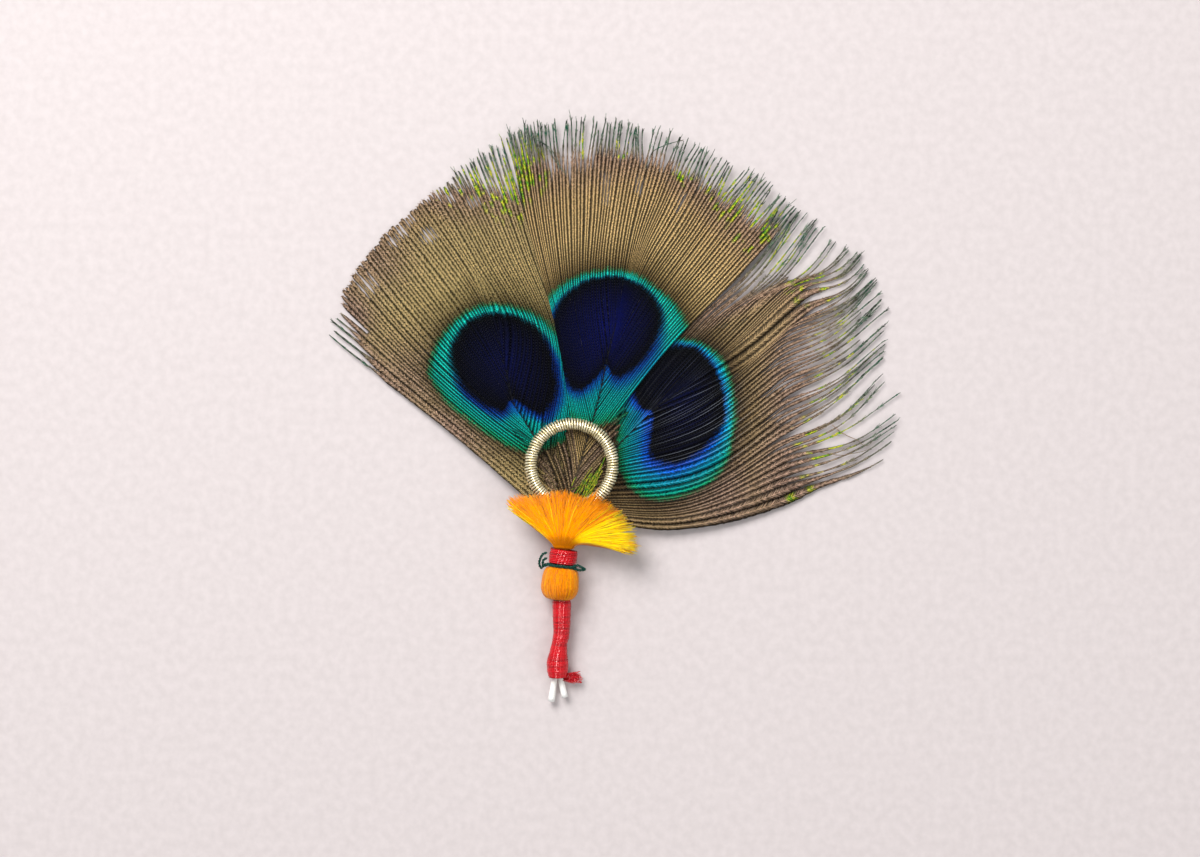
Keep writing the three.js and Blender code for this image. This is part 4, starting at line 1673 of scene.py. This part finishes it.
@dataclass
class Wrappings:
    """Red thread wound around the tassel's neck and down the stem, and its frayed end.

    Attributes:
        neck_radius: outside the neck's winding.
        neck_bore: radius inside its core.
        neck_half: half the winding's length.
        thread: distance between turns.
        flat: half the thread's thickness, which is pressed flat.
        stem_top: where the stem's winding starts, on Y.
        rise: height of the winding's axis above the side shafts in the stem.
        stem_profile: radius outside the stem's winding, by distance from its top.
        silk: the finish.
    """

    neck_radius: float = 2.4
    neck_bore: float = 1.92
    neck_half: float = 1.27
    thread: float = 0.3
    flat: float = 0.07
    stem_top: float = -22.95
    rise: float = 0.38
    stem_profile: tuple[Point, ...] = (
        (1.5, 0), (1.6, 0.3), (1.55, 3), (1.42, 5.5), (1.32, 7.4), (1.55, 9), (1.87, 10.4), (1.8, 12),
        (1.6, 12.9), (1.35, 13.1),
    )
    silk: ThreadFinish = ThreadFinish(
        "red_satin_thread", "760510", "CE0E1C", "FFD8D8", roughness=0.17, sheen=0.0, shine=0.6, ply_mm=0.5)

    def wind(
        self, name: str, axis: Array, radius: Array, turns: int, width: float, uneven: int, shade: float,
    ) -> bpy.types.Object:
        """Winds the flat thread around an axis.

        Args:
            name: the piece's name.
            axis: points of the axis, in order.
            radius: of the thread's middle line at each point.
            turns: how many times it goes round.
            width: of the thread, as a share of the distance between turns.
            uneven: how many times its tone changes on the way.
            shade: how much its tone changes.

        Returns:
            The finished object.
        """
        line = helix(axis, radius, turns)
        tone = 0.5 + shade * wander((1, len(line)), uneven)
        return Strands(name, sides=6).build(
            line[None], self.thread / 2 * width, self.flat,
            attributes={"tone": tone, "along": np.arange(len(line)) * 0.5},
            up=unit(line - axis)[None],
        )

    def build_neck(self) -> list[bpy.types.Object]:
        """Makes the neck's winding, and the core under it, whose dark red is painted shade between the turns.

        Returns:
            The finished objects.
        """
        turns = round(2 * self.neck_half / self.thread)
        stations = turns * 28
        along = np.linspace(-1, 1, stations)[:, None] * (self.neck_half - self.thread / 2)
        axis = np.array(NECK) + tilted(NECK_TILT)[1] * along
        bulge = self.neck_radius - self.flat - 0.12 * (np.abs(along[:, 0]) / self.neck_half) ** 2
        radius = bulge + wander((1, stations), 20)[0] * 0.03
        winding = self.wind("neck_winding", axis, radius, turns, 1.08, 30, 0.4)
        # The core carries no tone, so it takes the thread's darkest red: painted shade between the turns.
        outer, half_length = self.neck_radius - self.flat * 1.8, self.neck_half - 0.06
        wall = [
            (self.neck_bore, -half_length), (outer, -half_length), (outer, half_length),
            (self.neck_bore, half_length), (self.neck_bore, -half_length),
        ]
        return [winding, turned_body("neck_winding_core", wall, NECK, NECK_TILT)]

    def stem_radius(self, count: int) -> Array:
        """Radius outside the stem's winding, at evenly spaced places."""
        radius, along = zip(*self.stem_profile)
        return np.interp(np.linspace(0, along[-1], count), along, radius)

    def build_stem(self) -> list[bpy.types.Object]:
        """Makes the stem's winding, and the core under it, whose dark red is painted shade between the turns.

        Returns:
            The finished objects.
        """
        below = [(x, y) for x, y in STEM_AXIS if y < self.stem_top]
        points = np.array([
            (x, y, stem_height(y) + self.rise) for x, y in [(STEM_AXIS[3][0], self.stem_top), *below]
        ])
        turns = round(distances(even_curve(points, 300))[-1] / (self.thread * 0.85))
        stations = turns * 18
        radius = self.stem_radius(stations) - self.flat + wander((1, stations), 60)[0] * 0.03
        winding = self.wind("stem_winding", even_curve(points, stations), radius, turns, 1.05, 90, 0.45)
        # The core takes tone 0, the thread's darkest red: painted shade between the turns.
        inner = self.stem_radius(60) - self.flat * 1.8
        core = Strands("stem_winding_core", sides=16).build(
            even_curve(points, 60)[None], inner, inner, attributes={"tone": 0.0, "along": 0.0})
        return [winding, core]

    def build_frayed_end(self) -> bpy.types.Object:
        """Makes the loose fibres at the end of the stem's winding, which lie to the right.

        Returns:
            The finished object.
        """
        count, stations = 70, 16
        start_x, start_y, start_z = -1.3, -36.0, 1.4
        spread = RNG.uniform(-1, 1, (count, 1))
        reach = RNG.uniform(0.55, 1.0, (count, 1))
        at = np.linspace(0, 1, stations)[None]
        x = start_x + 3.2 * reach * at + RNG.uniform(-0.4, 0.2, (count, 1))
        y = start_y + spread * (0.55 + 0.45 * at) + wander((count, stations), 5) * 0.15 * at
        z = start_z + RNG.uniform(-0.35, 0.35, (count, 1)) + wander((count, stations), 4) * 0.08
        half = 0.07 * (1 - 0.4 * at)
        return Strands("frayed_thread_end").build(
            np.stack([x, y, z], -1), half, half,
            attributes={"tone": RNG.uniform(0, 1, (count, 1)), "along": at * 3},
        )

    def build(self) -> None:
        """Makes both windings and the frayed end, which stand for their solids."""
        red = self.silk.build()
        for node, pieces in (
            ("neck_wrap", self.build_neck()),
            ("stem_wrap", [*self.build_stem(), self.build_frayed_end()]),
        ):
            for piece in pieces:
                piece.data.materials.append(red)
            attach(pieces, node)


@dataclass
class Tie:
    """The dark green thread tied around the neck, with its loops.

    Attributes:
        below: how far along the neck from its middle the thread lies.
        radius: of the thread's middle line around the neck.
        thread: its diameter.
        turn_mm: length of one turn of its twist.
        loops: points of each loop's line, with heights.
        cotton: the finish.
    """

    below: float = 1.6
    radius: float = 2.28
    thread: float = 0.25
    turn_mm: float = 0.9
    loops: tuple[tuple[Place, ...], ...] = (
        ((-3.6, -16.75, 2.6), (-4.5, -16.85, 2.5), (-5.2, -17.4, 2.4), (-5.5, -16.5, 2.8), (-5, -15.2, 3.1),
         (-4.2, -14.8, 3.1)),
        ((-3.6, -16.7, 3.1), (-4.8, -17, 3), (-4.8, -16.1, 3.2), (-4.2, -15.7, 3.3)),
        ((0.2, -17.2, 4.4), (0.9, -16.9, 4.3), (2.2, -17.6, 3.9), (1.1, -17.7, 3.9), (0.3, -17.4, 4.3)),
    )
    cotton: ThreadFinish = ThreadFinish(
        "green_sewing_cotton", "06201A", "14443A", "2E6B56", roughness=0.6, sheen=0.2)

    def plies(self, line: Array) -> Array:
        """The two plies of a thread that follows a line."""
        turns = distances(line)[-1] / self.turn_mm
        return np.stack([helix(line, self.thread / 2, turns, start) for start in (0.0, 0.5)])

    def build(self) -> None:
        """Makes the thread, which stands for the tie's solid."""
        stations = 150
        turn = np.linspace(0, math.tau, stations)[:, None]
        across, along = tilted(NECK_TILT)
        middle = np.array(NECK) - along * self.below
        ring = middle + self.radius * (np.cos(turn) * across + np.sin(turn) * UP)
        lines = [ring, *(even_curve(np.array(loop), stations) for loop in self.loops)]
        centres = np.concatenate([self.plies(line) for line in lines])
        half = self.thread / 2 * 0.98
        piece = Strands("green_tie_thread", sides=6).build(
            centres, half, half,
            attributes={"tone": RNG.uniform(0.2, 0.8, (len(centres), 1)), "along": turn[:, 0]},
        )
        piece.data.materials.append(self.cotton.build())
        attach((piece,), "green_tie")


# ---------- the feathers' own shapes and colours ----------

LEFT_EYE = Eye(
    middle=(-11.1, 16.7), heading=114,
    heart=(
        (-20.4, 18.6), (-19.5, 21.7), (-17.5, 24.3), (-15.3, 25.3), (-13.0, 25.7), (-9.2, 25.1),
        (-5.9, 23.1), (-4.3, 21.3), (-3.1, 18.6), (-2.2, 14.1), (-2.4, 11.5), (-4.3, 8.2), (-5.9, 8.4),
        (-7.1, 9.2), (-9.7, 10.8), (-10.6, 10.4), (-11.6, 8.8), (-13.3, 9.1), (-16.1, 10.6),
        (-18.9, 13.5),
    ),
    halo=(
        (-23.8, 15.3), (-23.2, 18.9), (-21.7, 21.7), (-19.4, 24.3), (-16.1, 26.5), (-13.0, 26.9),
        (-10.2, 26.5), (-7.1, 25.5), (-4.6, 24.1), (-1.7, 20.3), (0.7, 15.2), (1.7, 10.1), (0.6, 6.4),
        (-2.4, 4.0), (-6.4, 2.7), (-10.2, 3.3), (-14.6, 5.9), (-17.5, 8.0), (-21.0, 10.9),
    ),
)
CENTRE_EYE = Eye(
    middle=(6.0, 23.2), heading=76,
    heart=(
        (-3.6, 22.9), (-2.6, 26.8), (0.1, 29.8), (3.9, 31.6), (8.3, 31.7), (12.2, 30.1), (14.4, 27.6),
        (15.2, 24.8), (14.1, 20.7), (12.2, 17.6), (9.5, 15.3), (7.8, 14.7), (6.7, 15.2), (6.0, 16.8),
        (5.0, 15.7), (3.4, 13.8), (1.4, 12.3), (-0.5, 12.9), (-1.6, 15.2), (-3.0, 19.0),
    ),
    halo=(
        (-4.8, 25.7), (-3.6, 28.2), (-1.3, 30.4), (2.0, 32.0), (6.7, 32.7), (10.8, 31.9), (14.4, 29.5),
        (17.2, 27.0), (19.1, 24.0), (19.5, 21.8), (19.0, 18.6), (16.7, 14.7), (12.9, 11.0), (8.6, 8.4),
        (4.8, 7.1), (1.7, 7.4), (-1.0, 9.3), (-3.2, 13.5), (-4.8, 18.6), (-5.3, 22.9),
    ),
)
RIGHT_EYE = Eye(
    middle=(19.0, 9.6), heading=40,
    heart=(
        (20.2, 20.1), (22.2, 19.0), (24.1, 16.5), (25.3, 13.5), (25.9, 9.4), (25.5, 6.6), (24.1, 4.4),
        (21.6, 1.9), (17.7, -0.2), (15.0, 0.1), (13.0, 1.3), (13.2, 5.2), (13.5, 8.8), (11.9, 9.4),
        (10.6, 11.0), (9.9, 13.5), (11.6, 17.4), (15.6, 20.0),
    ),
    halo=(
        (20.5, 20.6), (22.7, 19.9), (24.9, 17.9), (26.6, 14.6), (27.3, 9.9), (27.1, 5.8), (26.3, 1.3),
        (23.5, -2.5), (19.4, -4.7), (15.0, -5.6), (11.7, -4.7), (9.5, -2.8), (8.3, -0.1), (8.1, 3.8),
        (7.8, 9.1), (7.3, 14.4), (9.5, 19.1), (15.0, 21.5),
    ),
)

BRONZE = (
    (1.1, "7A643E"), (1.35, "B89C68"), (1.8, "E4C488"), (2.6, "E0BE86"), (3.3, "D0AC80"), (4.0, "B89478"),
)
OLIVE = (
    (1.1, "6E5F3C"), (1.35, "A89462"), (1.8, "CCB47C"), (2.6, "C8B07C"), (3.3, "BA9E74"), (4.0, "A88C6E"),
)
UMBER = (
    (1.1, "5E4C36"), (1.35, "947C56"), (1.8, "BEA276"), (2.6, "C4A67C"), (3.3, "C4A47E"), (4.0, "B29676"),
)
LEFT_FINISH = BarbFinish(
    "iridescent_barbs_left",
    ground=((-1.0, "0A1454"), (-0.45, "060C34"), (-0.08, "02040C"), (0.04, "0A48B4"), (0.2, "0A7CC8"),
            (0.38, "08C8C4"), (0.8, "0CCCB0"), (1.0, "1CB478"), *OLIVE),
    rim=((-1.0, "0A1454"), (-0.4, "060C34"), (-0.05, "02040C"), (0.1, "0C7888"), (0.35, "1CE4D0"),
         (0.85, "16CCB8"), (1.0, "2A9A68"), *OLIVE),
)
CENTRE_FINISH = BarbFinish(
    "iridescent_barbs_centre",
    ground=((-1.0, "0E1A74"), (-0.4, "08104C"), (-0.06, "02040E"), (0.05, "0A58C0"), (0.2, "0A86CC"),
            (0.4, "08B8C0"), (0.8, "08C8B4"), (1.0, "1CB882"), *BRONZE),
    rim=((-1.0, "0E1A74"), (-0.4, "08104C"), (-0.05, "02040E"), (0.1, "0A7498"), (0.35, "22E6D4"),
         (0.85, "18D0BC"), (1.0, "3AA470"), *BRONZE),
)
RIGHT_FINISH = BarbFinish(
    "iridescent_barbs_right",
    ground=((-1.0, "0A1244"), (-0.45, "060A28"), (-0.08, "03040C"), (0.04, "0C5CE0"), (0.2, "127CF0"),
            (0.4, "06A0D0"), (0.8, "06B2A8"), (1.0, "1EA870"), *UMBER),
    rim=((-1.0, "0A1244"), (-0.4, "060A28"), (-0.05, "03040C"), (0.1, "1070C0"), (0.35, "18B4F0"),
         (0.85, "18D4D0"), (1.0, "3AA06A"), *UMBER),
    greening=(1.1, 1.42),
)


def tuft(start: Point, end: Point, count: int, spread: float) -> tuple[Stray, ...]:
    """Short lime green barbs that lie side by side.

    Args:
        start: where the middle one starts.
        end: where the longest end.
        count: how many barbs.
        spread: how far from the middle one the others start, in millimetres.

    Returns:
        The barbs.
    """
    foot = np.array(start) + RNG.uniform(-1, 1, (count, 2)) * spread
    share = RNG.uniform(0.35, 1.0, (count, 1)) ** 1.3
    tip = mix(foot, np.array(end), share) + RNG.uniform(-1.1, 1.1, (count, 2)) * spread * (1.1 - share)
    middle = mix(foot, tip, 0.5) + RNG.uniform(-0.2, 0.2, (count, 2))
    limes = RNG.uniform(0.55, 1.0, count)
    lifts = RNG.uniform(0.3, 0.9, count)
    return tuple(
        Stray(tuple(map(tuple, line)), (0.82, 0.88), lime, lift)
        for line, lime, lift in zip(np.stack([foot, middle, tip], axis=1), limes, lifts)
    )


def left_feather() -> Feather:
    """The left feather, whose left side is trimmed to a clean arc.

    Returns:
        Its sizes and colours.
    """
    return Feather(
        "feather_left", Side.LEFT, eye=LEFT_EYE, finish=LEFT_FINISH,
        quill=((-3.1, -37.2), (-3.5, -40.1)), quill_radius=0.58,
        shaft=((-2, -6), (-3.2, -0.9), (-5.3, 3.1), (-7.7, 6.9), (-9.9, 10.5), (-11.1, 15.7), (-12.4, 21.2),
               (-13.9, 25.9)),
        guides=(
            BarbGuide(39, (-15.6, 1.4), (-28.7, 11.8), (-41.7, 22), 0.74, 1.25),
            BarbGuide(34, (-15.5, 5.5), (-28.4, 16.4), (-40.1, 27.3), 0.95, 0.85),
            BarbGuide(25.5, (-16, 10.8), (-26.7, 21), (-36.9, 32.9), 1.12, 0.7),
            BarbGuide(17, (-16.8, 19.1), (-24.5, 29.3), (-32.1, 39), 1.1, 0.66),
            BarbGuide(10.5, (-16.6, 25.2), (-22.6, 33.4), (-29.1, 41.7), 1.08, 0.66),
            BarbGuide(0, (-17.2, 32), (-21.4, 38.3), (-25.8, 44.5), 1.05, 0.7),
            BarbGuide(-12.5, (-10.2, 24.2), (-16, 34.9), (-23.1, 47), 0.97, 0.76),
            BarbGuide(-24.5, (-3.4, 20.5), (-10, 36.8), (-16.7, 53.5), 0.85, 0.78),
            BarbGuide(-31.5, (-0.2, 17.3), (-4.3, 37.6), (-8.8, 57.7), 0.86, 0.78),
            BarbGuide(-35.5, (2.2, 14.5), (0, 36), (-5.2, 57.6), 0.86, 0.74),
        ),
        lime=(Spot((-9.5, 48.5), 6.0, 1.5), Spot((-18.5, 48.5), 5.0, 0.9)),
        wine=(Spot((-30, 12), 9, 0.8), Spot((-22, 4), 8), Spot((-37, 25), 4, 0.9), Spot((-33, 34), 5, 0.6)),
        bare=(
            Spot((-28.8, 39.8), 1.1, 0.95), Spot((-30.3, 38), 1, 0.9), Spot((-24.3, 39), 1.5, 0.85),
            Spot((-34.7, 30.5), 1.5, 0.95), Spot((-20.8, 45.3), 1.0, 0.9), Spot((-16.8, 44.8), 1.3, 0.85),
            Spot((-27.3, 41.6), 0.8, 0.9),
        ),
        curl=(0.2, 0.1), gap_shade=0.5, foot=(25.0, 37.0), foot_length=(4.0, 6.5), foot_lift=0.12,
    )


def centre_feather() -> Feather:
    """The centre feather, which lies on the other two.

    Returns:
        Its sizes and colours.
    """
    return Feather(
        "feather_centre", Side.CENTRE, eye=CENTRE_EYE, finish=CENTRE_FINISH,
        shaft=((-0.9, -9.5), (-0.2, -5.5), (0.6, -2.4), (1.6, 0.9), (2.7, 4.6), (3.7, 8), (4.8, 12.3),
               (5.7, 16.6), (7, 22), (8.3, 27.3)),
        guides=(
            BarbGuide(28.5, (-2.6, 22.4), (-7.3, 39.9), (-10.9, 57.7), 0.86, 0.7),
            BarbGuide(20.5, (-0.5, 24.4), (-2.5, 41.7), (-3.4, 59.4), 0.84, 0.72),
            BarbGuide(13.5, (3.1, 29), (3.9, 44.1), (4.9, 59.4), 0.84, 0.76),
            BarbGuide(8, (5.2, 32.2), (6.6, 45.3), (8.5, 58.9), 0.83, 0.78),
            BarbGuide(3.5, (8.2, 35.4), (10.2, 46.7), (12.8, 57.5), 0.82, 0.78),
            BarbGuide(-1, (11.2, 38.2), (14.1, 47), (17, 56.7), 0.82, 0.78),
            BarbGuide(-5, (12.2, 35.1), (16.7, 43.8), (21.8, 54.7), 0.82, 0.78),
            BarbGuide(-9, (12.8, 30.5), (20.1, 41.2), (26.5, 52.1), 0.82, 0.76),
            BarbGuide(-13.5, (13.8, 26.1), (22.6, 37.7), (31.5, 49.7), 0.83, 0.72),
            BarbGuide(-28, (15.6, 18.3), (27.7, 30.7), (40.1, 44.1), 0.85, 0.68),
        ),
        lime=(
            Spot((31.5, 40.5), 5.0), Spot((27.5, 45), 4.0, 0.9), Spot((-9, 49), 4.2, 1.6),
            Spot((2.8, 54), 2.2), Spot((8.8, 53), 2, 0.8), Spot((19, 49), 2, 0.8), Spot((24, 48), 2.5, 0.8),
        ),
        strays=(
            Stray(((-7.5, 56), (-4.6, 54.1), (-2.8, 51.6), (-0.9, 49.1))),
            Stray(((-6.5, 55.7), (-4, 54.1), (-3.1, 53.2), (-2.1, 50))),
            Stray(((18.9, 55), (15.8, 54.1), (13.6, 52.5), (12, 50))),
            *tuft((1.5, -5.4), (5.7, 1.6), 20, 1.9),
        ),
        bare=(
            *(Spot((5.7, y), 0.8, 0.95) for y in (44.5, 45.6, 46.7, 47.8, 49)),
            *(Spot(place, 0.7, 0.9) for place in ((11.2, 46.5), (11.2, 47.5), (11.2, 48.5))),
            *(Spot(place, 0.7, 0.9) for place in ((18, 43.4), (18.5, 44.5), (19, 45.6))),
        ),
        foot=(12.0, 36.0), curl=(0.2, 0.0),
    )


def right_feather() -> Feather:
    """The right feather, whose barbs end in a long loose fringe.

    Returns:
        Its sizes and colours.
    """
    return Feather(
        "feather_right", Side.RIGHT, eye=RIGHT_EYE, finish=RIGHT_FINISH,
        quill=((-1.7, -37.2), (-1.2, -39.4)), quill_radius=0.55,
        shaft=((0, -8.6), (2.2, -4.3), (5.6, 0.8), (8.7, 4.2), (13.4, 8.9), (17, 11.6), (20.6, 14.2)),
        guides=(
            BarbGuide(31, (7.6, 10), (19.5, 25), (34.8, 44.6), 0.7, 0.74),
            BarbGuide(26.5, (11.2, 12.2), (23, 26), (38, 43.6), 0.64, 0.76),
            BarbGuide(18, (15.2, 14.5), (27.5, 27), (42.2, 41.8), 0.62, 0.72),
            BarbGuide(9, (24.3, 18.8), (34.9, 29.2), (46.4, 38.5), 0.7, 0.82),
            BarbGuide(0, (29.8, 21.7), (38.9, 29.8), (49.3, 36.5), 0.68, 0.7),
            BarbGuide(-8, (27.4, 15.7), (38.4, 24.6), (50.5, 34.4), 0.68, 0.62),
            BarbGuide(-16, (23, 11.1), (36.2, 21.8), (51.9, 32.4), 0.66, 0.6),
            BarbGuide(-23.5, (22.3, 2.3), (38.2, 13.2), (54.6, 24.2), 0.62, 0.8),
            BarbGuide(-27.8, (20.6, -3.8), (37.4, 6.6), (54.4, 18.4), 0.62, 1.2),
            BarbGuide(-29.3, (19.7, -6.7), (37.6, 2.3), (56.4, 12.2), 0.64, 1.7),
            BarbGuide(-30.1, (18.2, -8.8), (36, -3), (54.4, 5.8), 0.68, 2.0),
            BarbGuide(-31, (16.3, -11.5), (34.5, -8.4), (51.3, 0.6), 0.8, 1.8),
        ),
        lime=(
            Spot((41, 31), 5.0, 0.8), Spot((37, 35), 4.0, 0.9), Spot((46, 21), 5.0, 0.8),
            Spot((45, 12), 5.0), Spot((43, 4), 5.0), Spot((38, -6), 5, 0.7),
        ),
        strays=(
            Stray(((40, 2.6), (44, 3), (47, 3.6), (50.5, 5.2))),
            Stray(((44, 7), (47, 5), (49, 4.2), (51, 4.8))),
        ),
        wine=(Spot((26, -6), 8, 0.85), Spot((36, -4), 8, 0.85), Spot((38, 12), 6, 0.5)),
        painted_rib_glints=(Spot((21, 7), 8.0, 1.1),),
        foot=(12.0, 31.0), parting=(0.88, 1.3), broken=0.18, kept=(0.78, 0.94), fringe_sway=0.8,
        gather=(0.12, 0.6), curl=(-1.4, 2.7),
    )


# ---------- the studio ----------


@dataclass
class Studio:
    """A floor of matt off-white paper, soft light from the upper left and a camera that looks straight down.

    Attributes:
        aim: where the camera looks, in millimetres from the ring's centre.
        distance: of the camera above the surface.
        width: of the view at the surface.
        sensor: width of the camera's sensor.
        floor_half: half the floor's side, in metres.
        paper: darkest and lightest tone of the floor.
        sky: colour and strength of the light from all around.
    """

    aim: Point = (4.76, 6.12)
    distance: float = 400.0
    width: float = 204.0
    sensor: float = 36.0
    floor_half: float = 3.0
    paper: tuple[str, str] = ("CAC0BF", "D2C8C7")
    sky: tuple[str, float] = ("F2F4F6", 0.42)

    def build_floor(self) -> None:
        """Makes the floor: matt paper, whose fine grain only mottles its tone."""
        sheet = bmesh.new()
        bmesh.ops.create_grid(sheet, x_segments=1, y_segments=1, size=self.floor_half)
        mesh = bpy.data.meshes.new("floor")
        sheet.to_mesh(mesh)
        sheet.free()
        material, tree = new_material("matt_off_white_paper")
        grain = object_noise(tree, 1.5)
        colour = add_node(tree, "ValToRGB", {"Fac": grain}, ramp=[(0.3, self.paper[0]), (0.7, self.paper[1])])
        finish_with(tree, {"Base Color": colour, "Roughness": 0.9}, grain, 0.01)
        mesh.materials.append(material)
        piece_of(mesh)

    def add_light(self, name: str, place: Place, size: float, power: float, only_shine: bool = False) -> None:
        """Adds a square soft light that shines at the part.

        Args:
            name: the light's name.
            place: in millimetres from the ring's centre.
            size: side of the light in millimetres.
            power: in watts.
            only_shine: whether it shows in reflections alone.
        """
        data = bpy.data.lights.new(name, "AREA")
        data.size = size * MM
        data.energy = power
        lamp = bpy.data.objects.new(name, data)
        bpy.context.scene.collection.objects.link(lamp)
        lamp.visible_diffuse = not only_shine
        lamp.location = to_frame(np.array(place))
        x, y, z = to_frame(np.array([*self.aim, 0.0])) - to_frame(np.array(place))
        lamp.rotation_euler = (math.atan2(math.hypot(x, y), -z), 0.0, math.atan2(y, x) - math.pi / 2)

    def build(self) -> None:
        """Makes the floor, the lights, the pale surroundings and the camera."""
        scene = bpy.context.scene
        self.build_floor()
        self.add_light("key", (-260, 420, 520), 420, 6.4)
        self.add_light("glint", (50, 40, 560), 130, 3.2, only_shine=True)
        self.add_light("fill", (420, -200, 480), 500, 1.2)
        world = bpy.data.worlds.new("soft_room")
        world.use_nodes = True
        background = world.node_tree.nodes["Background"]
        background.inputs["Color"].default_value = linear(self.sky[0])
        background.inputs["Strength"].default_value = self.sky[1]
        scene.world = world
        scene.view_settings.view_transform = "Standard"
        lens = bpy.data.cameras.new("overhead")
        lens.sensor_width = self.sensor
        lens.lens = self.sensor * self.distance / self.width
        lens.clip_start = 0.01
        camera = bpy.data.objects.new("overhead", lens)
        camera.location = to_frame(np.array([*self.aim, self.distance]))
        scene.collection.objects.link(camera)
        scene.camera = camera


def main() -> None:
    """Builds every sub-assembly in order, then the studio."""
    logging.basicConfig(level=logging.INFO, format="%(message)s")
    for feather in (left_feather(), right_feather(), centre_feather()):
        feather.build()
    WireRing().build()
    Tassel().build()
    Wrappings().build()
    Tie().build()
    Studio().build()


if __name__ == "__main__":
    main()
